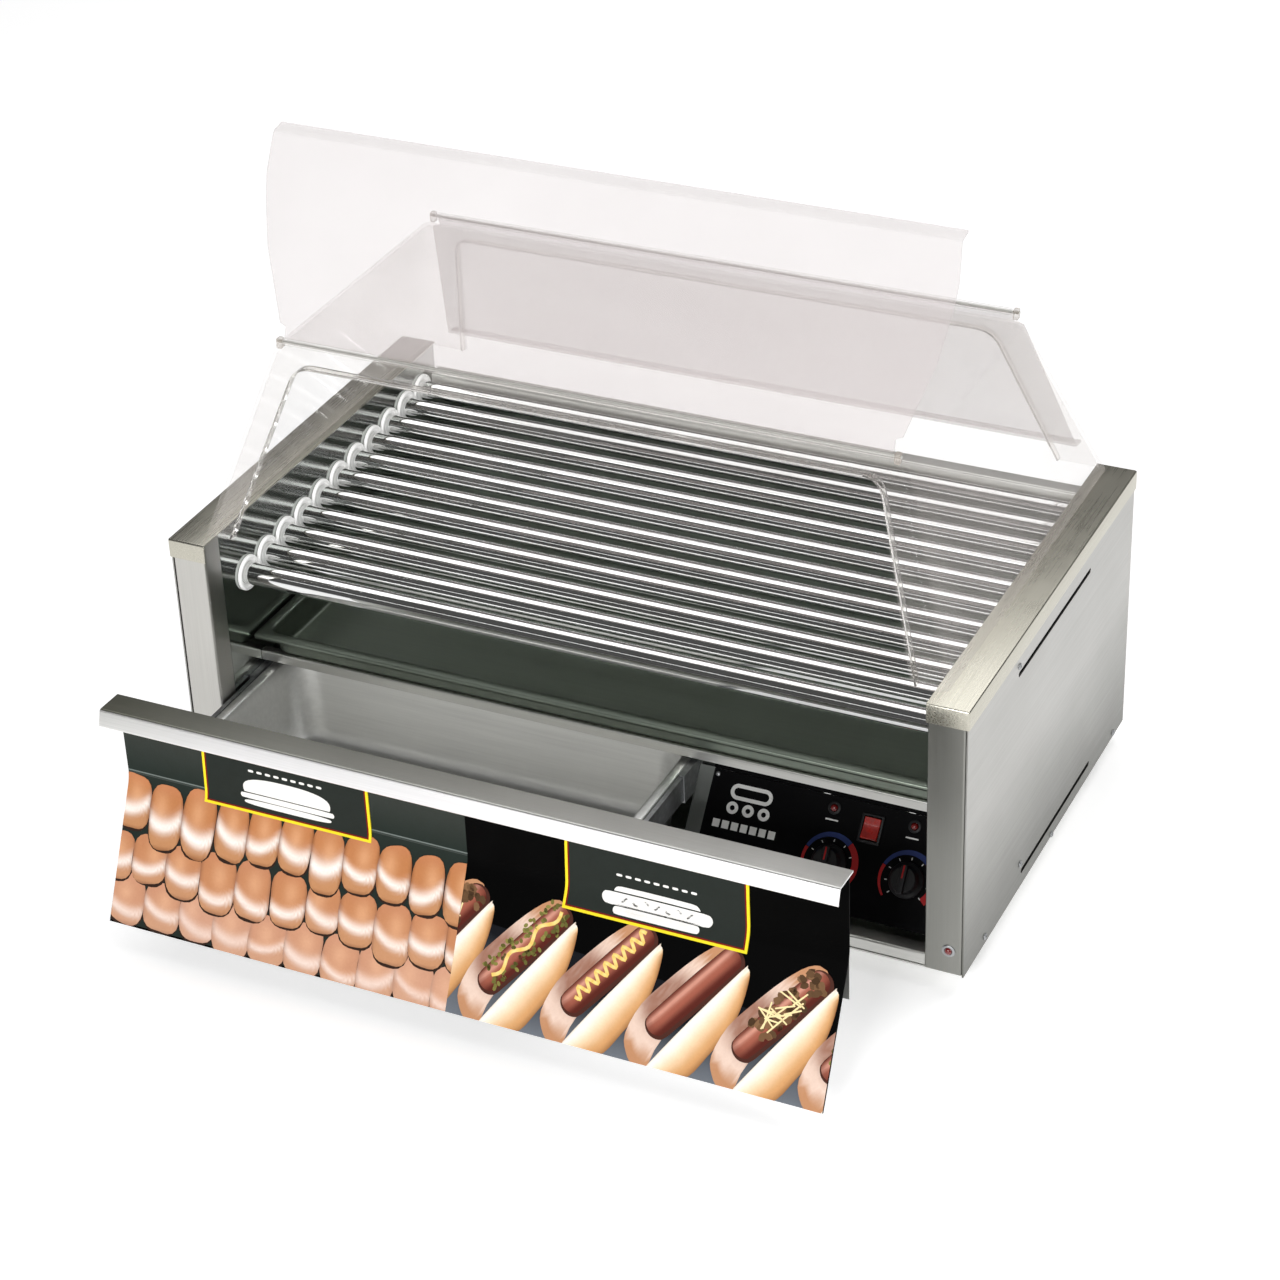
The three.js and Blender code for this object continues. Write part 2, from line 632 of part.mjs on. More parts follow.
// Inside this group the panel is level: X to the right, Y up its slope, Z out of its face.
const controls = new THREE.Group();
controls.position.set(0, (CONTROL.top[0] + CONTROL.bottom[0]) / 2, (CONTROL.top[1] + CONTROL.bottom[1]) / 2);
controls.rotation.x = Math.atan2(slopeZ, slopeY);
grill.add(controls);

function controlPanel() {
  const half = slopeLength / 2;
  const { x, up, width, height } = SWITCH;
  const [halfWide, halfTall] = [width / 2 + 1.2, height / 2 + 2];
  const plate = block([CONTROL.left, -half, -CONTROL.sheet], [CONTROL.right, half, 0]);
  const opening = block([x - halfWide, up - halfTall, -9], [x + halfWide, up + halfTall, 9]);
  const drill = (radius, across, upSlope) => rodAlongZ(radius, -9, 9, across, upSlope);
  const shaftHoles = Object.values(KNOB.places).map((at) => drill(THERMOSTAT.shaftHole, at, KNOB.up));
  const lampHoles = Object.values(PILOTS).map((at) => drill(LAMP.radius + 0.6, at, PILOT_UP));
  return cut(plate, opening, ...shaftHoles, ...lampHoles);
}

/** A black knob with a grip bar across its face and a blind bore for its shaft. */
function heatKnob() {
  const { radius, height, grip, bore } = KNOB;
  const face = height - 5;
  const body = [[0, 1], [radius, 1], [radius, 5], [radius - 4, 8], [radius - 5, face], [0, face]];
  const bar = block([-grip, -radius + 4, 10], [grip, radius - 4, height]);
  return cut(join(turnedAboutZ(body, 20), bar), rodAlongZ(bore, 0, THERMOSTAT.shaftEnd + 1, 0, 0));
}

/** A thermostat's body with its round shaft, which ends inside the knob. */
function thermostat() {
  const { halfWidth, halfHeight, depth, shaft, shaftEnd } = THERMOSTAT;
  const front = -CONTROL.sheet - GAP;
  const body = block([-halfWidth, -halfHeight, front - depth], [halfWidth, halfHeight, front]);
  return join(body, rodAlongZ(shaft, front - 1, shaftEnd, 0, 0));
}

/** A rocker with a shallow V across its face, turning about the middle of its width. */
function rocker() {
  const { width, height, depth } = SWITCH;
  const section = [
    [-height / 2, -depth],
    [height / 2, -depth],
    [height / 2, 3.4],
    [0, 2],
    [-height / 2, 3.4],
  ];
  return alongX(outline(section), -width / 2, width / 2);
}

function lamp() {
  const { radius, depth, dome } = LAMP;
  const profile = [[0, -depth], [radius, -depth], [radius, 1.5], [radius * 0.7, dome - 0.8], [0, dome]];
  return turnedAboutZ(profile, 12);
}

/** Adds a node at a spot on the control panel and returns the spot. */
function place(name, geometry, material, x, up) {
  const spot = new THREE.Group();
  spot.position.set(x, up, 0);
  controls.add(spot);
  add(name, geometry, material, spot);
  return spot;
}

/** The side wall between drawer and controls, with a narrow flange along its slanted front edge. */
function controlBoxDivider() {
  const [floor, ceiling] = [BASE_TOP + GAP, RAIL.top - RAIL.height - 1];
  const [toe, head] = [[31, TOP - 296], [101, TOP - 206]]; // the ends of the slanted edge
  const back = 505;
  const face = [[toe[0], floor], toe, head, [head[0], ceiling], [back, ceiling], [back, floor]];
  const flange = [toe, head, [head[0] + 2, head[1]], [toe[0] + 2, toe[1]]];
  const [x0, x1] = [SLIDE.right, CONTROL.left];
  return join(alongX(outline(face), x0, x0 + 2), alongX(outline(flange), x0 + 1, x1 - 0.5));
}

add('control_panel', controlPanel(), BLACK, controls);
for (const [name, x] of Object.entries(KNOB.places)) {
  place(name, heatKnob(), BLACK, x, KNOB.up);
  place(name.replace('heat_knob', 'thermostat'), thermostat(), GALVANISED, x, KNOB.up);
}
for (const [name, x] of Object.entries(PILOTS)) {
  place(name, lamp(), RED, x, PILOT_UP);
}
const rockerSpot = place('power_rocker', rocker(), RED, SWITCH.x, SWITCH.up);
rockerSpot.rotation.x = THREE.MathUtils.degToRad(SWITCH.tilt);
add('post_lamp', lamp().rotateX(Math.PI / 2).translate(POST_LAMP.x, FRONT - GAP, POST_LAMP.z), RED);
add('control_box_divider', controlBoxDivider(), STEEL);

// ---------------------------------------------------------------- clear hood and its doors

/** The hood's block shape, drawn in by a wall thickness on every side. */
function hoodBlock(wall, drop) {
  const { foot: footX, roof: roofX, front, back, base } = HOOD;
  const lower = { x0: wall - footX, x1: footX - wall, y0: front.foot + wall, y1: back.foot - wall, z: base };
  const upper = { x0: wall - roofX, x1: roofX - wall, y0: front.roof + wall, y1: back.roof - wall };
  return tapered(lower, { ...upper, z: TOP + HOOD.height - drop });
}

/** The outline of an opening in the hood's front or back, round at its upper corners. */
function openingOutline(halfBottom, halfTop, topZ) {
  const { corner, lean } = HOOD.opening;
  const shape = new THREE.Shape();
  shape.moveTo(-halfBottom, HOOD.base - 10);
  shape.lineTo(halfBottom, HOOD.base - 10);
  shape.lineTo(halfTop + lean, topZ - corner);
  shape.quadraticCurveTo(halfTop, topZ, halfTop - corner, topZ);
  shape.lineTo(corner - halfTop, topZ);
  shape.quadraticCurveTo(-halfTop, topZ, -halfTop - lean, topZ - corner);
  return shape;
}

/** Where a door's rod lies over the front or back edge of the roof. */
const frontAxis = { y: HOOD.front.roof - 2, z: TOP + HOOD.height + HINGE.rise };
const rearAxis = { y: HOOD.back.roof + 2, z: TOP + HOOD.height + HINGE.rise };

function hingeEars({ y, z }) {
  const { near, far, half, below } = HINGE.ear;
  return [-1, 1].map((side) => sideBlock(side, near, far, y - half, y + half, z - below, z + half));
}

function hood() {
  const { sheet, foot: footX, frame, height, opening } = HOOD;
  const shell = cut(hoodBlock(0, 0), hoodBlock(sheet + 0.2, sheet));
  const head = TOP + height - opening.below;
  const reach = footX - frame;
  const frontHole = alongY(openingOutline(reach, opening.halfFront, head), 0, 200);
  const backHole = alongY(openingOutline(reach - opening.backFrame, opening.halfBack, head), 300, 530);
  const body = join(cut(shell, frontHole, backHole), ...hingeEars(frontAxis), ...hingeEars(rearAxis));
  const axes = [frontAxis, rearAxis];
  return cut(body, ...axes.map(({ y, z }) => rodAlongX(HINGE.rod + GAP, -OUTER_X, OUTER_X, y, z)));
}

/** A door in its own frame: the rod along X at the origin, the sheet running out along Y. */
function door(halfWidths, lipSign) {
  const { sheet, length, lip, lipTurn, curlTab } = DOOR;
  const half = sheet / 2;
  const edge = [[HINGE.halfCurl, HINGE.curl - 1], [HINGE.halfCurl, curlTab], ...halfWidths];
  const otherEdge = edge.map(([x, y]) => [-x, y]).reverse();
  const panel = alongZ(outline([...edge, ...otherEdge]), -half, half);
  const curlShape = new THREE.Shape();
  curlShape.absarc(0, 0, HINGE.curl, 0, 2 * Math.PI, false);
  curlShape.holes.push(ring(HINGE.curlBore, 0, 0));
  const curl = alongX(curlShape, -HINGE.halfCurl, HINGE.halfCurl, 12);
  const endX = halfWidths.at(-1)[0];
  const strip = block([-endX, -half, -half], [endX, lip, half]);
  strip.rotateX(THREE.MathUtils.degToRad(lipSign * lipTurn)).translate(0, length - 1, 0);
  return join(panel, curl, strip);
}

/** Hangs a door on its rod, raised from level. */
function hang(name, { halfWidths, raised }, lipSign, { y, z }) {
  const leaf = new THREE.Group();
  leaf.position.set(0, y, z);
  leaf.rotation.x = THREE.MathUtils.degToRad(raised);
  grill.add(leaf);
  add(name, door(halfWidths, lipSign), CLEAR, leaf);
}

const hingeRod = ({ y, z }) => rodAlongX(HINGE.rod, -HINGE.halfRod, HINGE.halfRod, y, z);

add('hood', hood(), CLEAR);
hang('front_door', FRONT_DOOR, 1, frontAxis);
hang('rear_door', REAR_DOOR, -1, rearAxis);
add('front_hinge_rod', hingeRod(frontAxis), STEEL);
add('rear_hinge_rod', hingeRod(rearAxis), STEEL);

export default grill;
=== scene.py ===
import math
import random

import bmesh
import bpy
from mathutils import Matrix, Vector


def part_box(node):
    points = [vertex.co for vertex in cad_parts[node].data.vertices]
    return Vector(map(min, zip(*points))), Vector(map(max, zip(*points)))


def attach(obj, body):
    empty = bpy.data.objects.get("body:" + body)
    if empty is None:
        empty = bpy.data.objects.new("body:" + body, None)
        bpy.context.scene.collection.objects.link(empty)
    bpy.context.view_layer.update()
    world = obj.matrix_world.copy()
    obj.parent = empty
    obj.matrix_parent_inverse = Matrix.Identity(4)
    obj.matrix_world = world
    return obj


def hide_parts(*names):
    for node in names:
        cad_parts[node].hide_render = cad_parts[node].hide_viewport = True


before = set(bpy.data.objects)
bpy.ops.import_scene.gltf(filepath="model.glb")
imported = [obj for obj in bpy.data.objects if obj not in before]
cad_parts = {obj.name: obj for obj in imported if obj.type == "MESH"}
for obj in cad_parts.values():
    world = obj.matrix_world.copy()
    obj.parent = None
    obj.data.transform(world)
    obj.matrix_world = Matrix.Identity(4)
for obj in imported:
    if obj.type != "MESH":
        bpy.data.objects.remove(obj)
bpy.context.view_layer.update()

# A hot dog roller grill at rest with its bun drawer pulled out and its front door raised.
# Sizes are in millimetres here; at() turns a place measured from the middle of the width, the
# front of the top caps and the surface that the grill stands on into the frame's metres.

MM = 0.001
FRONT_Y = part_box("left_top_cap")[0].y
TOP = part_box("left_top_cap")[1].z / MM
SHEET = 1.5
GAP = 0.3
WALL_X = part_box("right_inner_wall")[0].x / MM
ROLLERS = 11
ROLLER_RADIUS = 12.7
ROLLER_BORE = 11.2
SEAL_RADIUS = 20
SEAL_SLEEVE = 15.8
SPROCKET_X = (418.6, 421.4)
HOOD_SHEET = 3
HOOD_ROOF = TOP + 208
HINGE_RISE = 5
ROD_RADIUS = 1.6
FOOT_HEIGHT = 22


def at(x, y, z):
    return Vector((x * MM, FRONT_Y + y * MM, z * MM))


def place_of(point):
    """The millimetre place of a point in the frame."""
    return point.x / MM, (point.y - FRONT_Y) / MM, point.z / MM


def low_high(node):
    low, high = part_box(node)
    return place_of(low), place_of(high)


# ---------------------------------------------------------------- materials


class Nodes:
    """A material's node tree with short ways to add the nodes that these finishes share."""

    def __init__(self, name, base, roughness, metallic=0.0):
        self.material = bpy.data.materials.new(name)
        self.material.use_nodes = True
        self.tree = self.material.node_tree
        self.shader = self.tree.nodes["Principled BSDF"]
        self.set("Base Color", (*base, 1))
        self.set("Roughness", roughness)
        self.set("Metallic", metallic)
        self.place = self.add("ShaderNodeTexCoord").outputs["Object"]

    def set(self, socket, value):
        self.shader.inputs[socket].default_value = value

    def put(self, socket, value):
        """Links a socket's value, or sets a plain one."""
        if isinstance(value, bpy.types.NodeSocket):
            self.tree.links.new(value, socket)
        else:
            socket.default_value = value

    def add(self, kind, **inputs):
        node = self.tree.nodes.new(kind)
        for name, value in inputs.items():
            self.put(node.inputs[name.replace("_", " ")], value)
        return node

    def scaled(self, x, y, z):
        return self.add("ShaderNodeMapping", Vector=self.place, Scale=(x, y, z)).outputs[0]

    def noise(self, scale, detail=4.0, where=None, roughness=0.55):
        shape = {"Scale": scale, "Detail": detail, "Roughness": roughness}
        return self.add("ShaderNodeTexNoise", Vector=where or self.place, **shape).outputs[0]

    def spread(self, value, low, high, start=0.3, end=0.7):
        """The value's start to end carried to low to high."""
        ends = {"From_Min": start, "From_Max": end, "To_Min": low, "To_Max": high}
        return self.add("ShaderNodeMapRange", Value=value, **ends).outputs[0]

    def blend(self, factor, first, second, kind="MIX"):
        node = self.tree.nodes.new("ShaderNodeMix")
        node.data_type = "RGBA"
        node.blend_type = kind
        sockets = {s.identifier: s for s in node.inputs}
        for name, value in (("Factor_Float", factor), ("A_Color", first), ("B_Color", second)):
            self.put(sockets[name], (*value, 1)[:4] if isinstance(value, tuple) else value)
        return next(s for s in node.outputs if s.identifier == "Result_Color")

    def sum(self, first, second, operation="ADD"):
        node = self.tree.nodes.new("ShaderNodeMath")
        node.operation = operation
        for socket, value in zip(node.inputs, (first, second)):
            self.put(socket, value)
        return node.outputs[0]

    def bump(self, height, strength, distance):
        node = self.add("ShaderNodeBump", Height=height, Strength=strength, Distance=distance)
        self.link(node.outputs[0], "Normal")

    def shade(self, mask, base, factor):
        """The base colour, carried to a darker shade of itself where the mask is high."""
        self.link(self.blend(mask, base, tuple(c * factor for c in base)), "Base Color")

    def link(self, output, socket):
        self.tree.links.new(output, self.shader.inputs[socket])


def brushed(name, base, roughness, grain, streak=900.0, depth=0.08, smudge=0.03, painted_shade=None):
    """Brushed steel; grain is the axis that its fine scratches run along.

    painted_shade: painted shade along an axis; the axis, where on it the shade starts and ends in metres, and
    the darker tone that it starts from.
    """
    n = Nodes(name, base, roughness, 1.0)
    across = {"x": (6, streak, streak), "y": (streak, 6, streak), "z": (streak, streak, 6)}[grain]
    lines = n.noise(1.0, 3.0, n.scaled(*across), 0.7)
    cloud = n.noise(2.4, 2.0)
    blotch = n.noise(14.0, 3.0)
    # Painted shade: the base colour runs from a darker tone to itself along an axis.
    if painted_shade:
        axis, start, end, painted_shade_tone = painted_shade
        place = n.add("ShaderNodeSeparateXYZ", Vector=n.place).outputs[axis]
        base = n.blend(n.spread(place, 0, 1, start, end), painted_shade_tone, base)
    tone = n.blend(n.spread(cloud, 0.08, 0), base, (0.1, 0.1, 0.1))
    n.link(n.blend(n.spread(lines, 0, 0.10), tone, (0.16, 0.16, 0.15)), "Base Color")
    varied = n.sum(n.spread(lines, roughness - 0.03, roughness + 0.05), n.spread(blotch, -smudge, smudge))
    n.link(varied, "Roughness")
    n.bump(lines, depth, 0.00008)
    return n.material


def polished(name, base, roughness, wave=0.0006):
    """Mirror-finished sheet with faint cleaning haze and a slight waviness."""
    n = Nodes(name, base, roughness, 1.0)
    haze = n.noise(9.0, 4.0)
    n.shade(n.spread(haze, 0, 1), base, 0.86)
    n.link(n.spread(haze, roughness, roughness + 0.09), "Roughness")
    n.bump(n.noise(5.0, 1.0), 0.25, wave)
    return n.material


def chromed(name, base, roughness):
    """Chrome tube: fine turning lines round it and thin cooked-on films here and there."""
    n = Nodes(name, base, roughness, 1.0)
    rings = n.noise(1.0, 2.0, n.scaled(1400, 3, 3))
    film = n.noise(1.0, 4.0, n.scaled(9, 30, 30))
    n.link(n.blend(n.spread(film, 0, 0.4, 0.5, 0.8), base, (0.50, 0.48, 0.44)), "Base Color")
    filmed = n.spread(film, roughness, roughness + 0.03, 0.45, 0.75)
    n.link(n.sum(filmed, n.spread(rings, 0, 0.01)), "Roughness")
    n.bump(film, 0.02, 0.0001)
    return n.material


def zinc(name, base):
    """Zinc plating: faint crystal spangle."""
    n = Nodes(name, base, 0.42, 1.0)
    spangle = n.add("ShaderNodeTexVoronoi", Vector=n.place, Scale=140)
    tone = n.spread(spangle.outputs["Distance"], 0, 1, 0.0, 0.6)
    n.shade(tone, base, 0.78)
    n.link(n.spread(n.noise(30.0), 0.34, 0.55), "Roughness")
    n.bump(n.noise(260.0), 0.15, 0.0001)
    return n.material


def moulded(name, base, roughness, grain=700.0, lift=0.0001, shade=0.8, gloss=0.5, painted_glow=0.0):
    """Moulded plastic, print or rubber with a fine texture; painted_glow is painted light, a slight light of
    its own.
    """
    n = Nodes(name, base, roughness)
    n.set("Specular IOR Level", gloss)
    texture = n.noise(grain, 2.0)
    cloud = n.noise(24.0, 3.0)
    n.shade(n.spread(cloud, 0, 1), base, shade)
    n.link(n.spread(cloud, roughness - 0.06, roughness + 0.08), "Roughness")
    n.bump(texture, 0.3, lift)
    # Painted light: an emission in the base colour.
    n.set("Emission Color", (*base, 1))
    n.set("Emission Strength", painted_glow)
    return n.material


def glossy(name, base, roughness, coat=0.6):
    """Smooth tinted plastic, such as a lens or a rocker."""
    n = Nodes(name, base, roughness)
    n.set("Coat Weight", coat)
    n.set("Coat Roughness", 0.06)
    cloud = n.noise(160.0, 3.0)
    n.shade(n.spread(cloud, 0, 1), base, 0.62)
    n.link(n.spread(cloud, roughness, roughness + 0.08), "Roughness")
    n.bump(n.noise(90.0, 1.0), 0.08, 0.0002)
    return n.material


def clear(name, tint, least, most, gloss=0.5):
    """Clear formed acrylic; least and most say how solid it looks square on and edge on."""
    n = Nodes(name, tint, 0.03)
    n.set("IOR", 1.49)
    n.set("Specular IOR Level", gloss)
    rim = n.tree.nodes.new("ShaderNodeLayerWeight")
    rim.inputs["Blend"].default_value = 0.35
    smear = n.noise(4.0, 5.0, n.scaled(1.0, 2.5, 1.0))
    facing = n.spread(rim.outputs["Facing"], least, most, 0.0, 1.0)
    n.link(n.sum(facing, n.spread(smear, -0.02, 0.03)), "Alpha")
    n.link(n.spread(smear, 0.02, 0.09), "Roughness")
    n.shade(n.spread(smear, 0, 1), tint, 0.97)
    n.bump(n.noise(3.0, 1.0), 0.08, 0.001)
    return n.material


def refracting(name, tint):
    """Thick acrylic edge that bends what is seen through it."""
    n = Nodes(name, tint, 0.02)
    n.set("IOR", 1.49)
    n.set("Transmission Weight", 1.0)
    smear = n.noise(6.0, 3.0)
    n.link(n.spread(smear, 0.01, 0.06), "Roughness")
    n.shade(n.spread(smear, 0, 1), tint, 0.96)
    n.bump(n.noise(14.0, 1.0), 0.2, 0.002)
    return n.material


def printed(name, roughness=0.46):
    """A laminated print: its colours are painted on the mesh."""
    n = Nodes(name, (0.5, 0.5, 0.5), roughness)
    n.set("Specular IOR Level", 0.03)
    paint = n.tree.nodes.new("ShaderNodeAttribute")
    paint.attribute_name = "paint"
    crumb = n.noise(420.0, 3.0)
    mottle = n.noise(70.0, 3.0)
    toned = n.blend(n.spread(mottle, 0, 0.16), paint.outputs["Color"], (0.78, 0.68, 0.60), "MULTIPLY")
    n.link(n.blend(n.spread(crumb, 0, 0.14), toned, (0.72, 0.62, 0.52), "MULTIPLY"), "Base Color")
    n.link(n.spread(mottle, roughness - 0.05, roughness + 0.07), "Roughness")
    n.bump(n.noise(900.0, 1.0), 0.06, 0.00003)
    return n.material


STEEL = (0.66, 0.66, 0.63)
SATIN_X = brushed("satin_steel_grain_x", STEEL, 0.32, "x")
# Side panels: painted shade, darker from the foot's height up to 0.20 m.
SIDE_PAINTED_SHADE = ("Z", FOOT_HEIGHT * MM, 0.20, (0.16, 0.16, 0.145))
SIDE_STEEL = brushed("side_steel", (0.47, 0.465, 0.445), 0.36, "y", 700.0, 0.05, 0.02, SIDE_PAINTED_SHADE)
# Front posts: one steel as a shaded copy for the right post and a lit copy for the left, painted light and
# shade.
RIGHT_POST_SHADED_STEEL = brushed("right_post_shaded_steel", (0.28, 0.28, 0.26), 0.34, "z")
LEFT_POST_LIT_STEEL = brushed("left_post_lit_steel", (0.56, 0.55, 0.52), 0.34, "z")
# Painted shade: the divider's steel is darkened to the shade of the gap it stands in.
DIVIDER_SHADED_STEEL = brushed("divider_shaded_steel", (0.16, 0.17, 0.16), 0.34, "z")
CAP_STEEL = brushed("cap_steel", (0.55, 0.53, 0.455), 0.28, "y", 500.0, 0.04)
PAN_STEEL = brushed("pan_steel", (0.96, 0.96, 0.94), 0.44, "x", 200.0, 0.02, 0.02)
# Painted shade: the drip tray's steel is darkened to the shade under the rollers.
TRAY_SHADED_STEEL = brushed("tray_shaded_steel", (0.27, 0.31, 0.26), 0.34, "x", 200.0, 0.02, 0.02)
# Drawer pull: one steel as a shaded copy for its top and a lit copy for its lip, both darker towards the left
# end by painted shade.
HANDLE_TOP_PAINTED_SHADE = ("X", -0.42, 0.34, (0.13, 0.13, 0.10))
HANDLE_TOP_SHADED_STEEL = brushed("handle_top_shaded_steel", (0.58, 0.58, 0.56), 0.32, "x", 700.0, 0.04, 0.02, HANDLE_TOP_PAINTED_SHADE)
HANDLE_LIP_PAINTED_SHADE = ("X", -0.44, -0.24, (0.80, 0.80, 0.77))
HANDLE_LIP_LIT_STEEL = brushed("handle_lip_lit_steel", (0.95, 0.94, 0.94), 0.44, "x", 700.0, 0.04, 0.02, HANDLE_LIP_PAINTED_SHADE)
MIRROR = polished("polished_steel", (0.42, 0.44, 0.42), 0.07)
CHROME = chromed("roller_chrome", (0.76, 0.765, 0.76), 0.03)
ZINC = zinc("zinc_plate", (0.48, 0.49, 0.50))
RUBBER = moulded("black_rubber", (0.018, 0.018, 0.018), 0.7)
BLACK = moulded("black_plastic", (0.010, 0.010, 0.011), 0.42, gloss=0.3)
# Painted light: the white seal rings glow slightly, standing in for light on them in the shade of the walls
# and hood.
GLOWING_SEAL_WHITE = moulded("white_seal_plastic_painted_glow", (0.97, 0.97, 0.96), 0.35, 300.0, 0.00008, 0.97, 0.5, 0.22)
PANEL_BLACK = moulded("panel_black", (0.002, 0.002, 0.0025), 0.46, 500.0, 0.00002, gloss=0.05)
PRINT_BLACK = moulded("print_black", (0.001, 0.001, 0.001), 0.46, 500.0, 0.00002, gloss=0.02)
PRINT_RED = moulded("print_red", (0.42, 0.012, 0.014), 0.40, 500.0, 0.00002, gloss=0.2)
PRINT_BLUE = moulded("print_blue", (0.02, 0.04, 0.17), 0.40, 500.0, 0.00002, gloss=0.2)
PRINT_WHITE = moulded("print_white", (0.86, 0.86, 0.84), 0.4, 500.0, 0.00002, 0.95, 0.3)
RED_ROCKER = glossy("red_rocker", (0.55, 0.022, 0.014), 0.25)
RED_LENS = glossy("red_lens", (0.22, 0.008, 0.008), 0.12, 1.0)
CLEAR = clear("clear_acrylic", (1.0, 0.93, 0.89), 0.04, 0.22)
CLEAR_DOOR = clear("door_acrylic", (0.68, 0.62, 0.615), 0.25, 0.46, 0.08)
CLEAR_EDGE = clear("acrylic_edge", (0.58, 0.52, 0.46), 0.24, 0.70)
CLEAR_CURL = clear("acrylic_curl", (0.80, 0.76, 0.72), 0.06, 0.34)
CLEAR_LIP = refracting("acrylic_lip", (0.96, 0.94, 0.91))
PRINT = printed("food_print")

# ---------------------------------------------------------------- mesh helpers


def round_off(piece, width, degrees):
    """Rounds the edges of a piece that are sharper than an angle."""
    bevel = piece.modifiers.new("round_edges", "BEVEL")
    bevel.width = width * MM
    bevel.segments = 2
    bevel.limit_method = "ANGLE"
    bevel.angle_limit = math.radians(degrees)


def placed(name, data):
    """A new object in the scene."""
    thing = bpy.data.objects.new(name, data)
    bpy.context.scene.collection.objects.link(thing)
    return thing


def make(name, mesh, body, material, replaces=(), smooth=35, round_edges=0.0):
    """A finished piece: shaded, dressed, named in the frame and riding on its body."""
    piece = placed(name, mesh)
    mesh.materials.clear()
    for m in material if isinstance(material, (list, tuple)) else [material]:
        mesh.materials.append(m)
    mesh.shade_smooth()
    mesh.set_sharp_from_angle(angle=math.radians(smooth))
    if round_edges:
        round_off(piece, round_edges, smooth)
    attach(piece, body)
    if replaces:
        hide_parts(*replaces)
    return piece


def mesh_from(name, points, faces):
    mesh = bpy.data.meshes.new(name)
    mesh.from_pydata([tuple(p) for p in points], [], faces)
    tidy = bmesh.new()
    tidy.from_mesh(mesh)
    bmesh.ops.remove_doubles(tidy, verts=tidy.verts, dist=1e-6)
    bmesh.ops.recalc_face_normals(tidy, faces=tidy.faces)
    tidy.to_mesh(mesh)
    tidy.free()
    return mesh


def settled(name, work):
    """A mesh from finished bmesh work, which is used up."""
    mesh = bpy.data.meshes.new(name)
    work.to_mesh(mesh)
    work.free()
    return mesh


def joined(name, meshes):
    """One mesh holding copies of several; a mesh's own material numbers are kept."""
    whole = bmesh.new()
    for mesh in meshes:
        whole.from_mesh(mesh)
    return settled(name, whole)


def filleted(points, radius, steps=6):
    """A 2-D line with its inner corners rounded."""
    line = [Vector(points[0])]
    for before, corner, after in zip(points, points[1:], points[2:]):
        before, corner, after = Vector(before), Vector(corner), Vector(after)
        back, on = (before - corner).normalized(), (after - corner).normalized()
        half = back.angle(on) / 2
        reach = min(radius / math.tan(half), (before - corner).length * 0.49, (after - corner).length * 0.49)
        start, end = corner + back * reach, corner + on * reach
        for i in range(steps + 1):
            t = i / steps
            line.append(start * (1 - t) ** 2 + corner * 2 * t * (1 - t) + end * t * t)
    line.append(Vector(points[-1]))
    return line


def both_sides(line, thickness):
    """The two edges of a strip of that thickness about a 2-D line."""
    left, right = [], []
    for i, p in enumerate(line):
        before, after = line[max(i - 1, 0)], line[min(i + 1, len(line) - 1)]
        way = (after - before).normalized()
        normal = Vector((-way.y, way.x)) * thickness / 2
        left.append(p + normal)
        right.append(p - normal)
    return left, right


def along(axis, u, v, w):
    """A section's (u, v) at distance w along an axis, in millimetres."""
    return {"x": at(w, u, v), "y": at(u, w, v), "z": at(u, v, w)}[axis]


def carried(name, first, second, place, low, high, ring=False):
    """A solid between two 2-D lines of one count, carried from low to high by place(point, height)."""
    count = len(first)
    far = 2 * count
    verts = [place(p, w) for w in (low, high) for p in [*first, *second]]
    faces = []
    for i in range(count if ring else count - 1):
        a, b = i, (i + 1) % count
        c, d = count + a, count + b
        faces += [(a, b, far + b, far + a), (c, far + c, far + d, d)]
        faces += [(a, c, d, b), (far + a, far + b, far + d, far + c)]
    for a, c in () if ring else ((0, count), (count - 1, 2 * count - 1)):
        faces.append((a, c, far + c, far + a))
    return mesh_from(name, verts, faces)


def folded(name, points, radius, axis, low, high, thickness=SHEET, steps=6):
    """A folded sheet: a 2-D line, its folds rounded, carried along an axis."""
    left, right = both_sides(filleted(points, radius, steps), thickness)
    return carried(name, left, right, lambda p, w: along(axis, p.x, p.y, w), low, high)


def lathe(name, profile, centre, axis, segments=48):
    """A closed [radius, height] profile turned about an axis through centre, all in millimetres."""
    verts, faces = [], []
    count = len(profile)
    w = axis if isinstance(axis, Vector) else Vector([float(letter == axis) for letter in "xyz"])
    u = w.orthogonal().normalized()
    v = w.cross(u)
    for i in range(segments):
        angle = 2 * math.pi * i / segments
        out = u * math.cos(angle) + v * math.sin(angle)
        verts += [centre + (out * r + w * h) * MM for r, h in profile]
    for i in range(segments):
        here, there = i * count, (i + 1) % segments * count
        for k in range(count):
            m = (k + 1) % count
            if profile[k][0] == 0 and profile[m][0] == 0:
                continue
            faces.append((here + k, here + m, there + m, there + k))
    work = bmesh.new()
    made = [work.verts.new(p) for p in verts]
    for face in faces:
        work.faces.new([made[i] for i in face])
    bmesh.ops.remove_doubles(work, verts=work.verts, dist=1e-7)
    bmesh.ops.dissolve_degenerate(work, edges=work.edges, dist=1e-7)
    bmesh.ops.recalc_face_normals(work, faces=work.faces)
    return settled(name, work)


def block(low, high):
    """Bmesh work that holds a plain block between two corners."""
    work = bmesh.new()
    bmesh.ops.create_cube(work, size=1)
    size = Vector(h - l for l, h in zip(low, high))
    middle = Vector((l + h) / 2 for l, h in zip(low, high))
    for v in work.verts:
        v.co = Vector(c * s for c, s in zip(v.co, size)) + middle
    return work


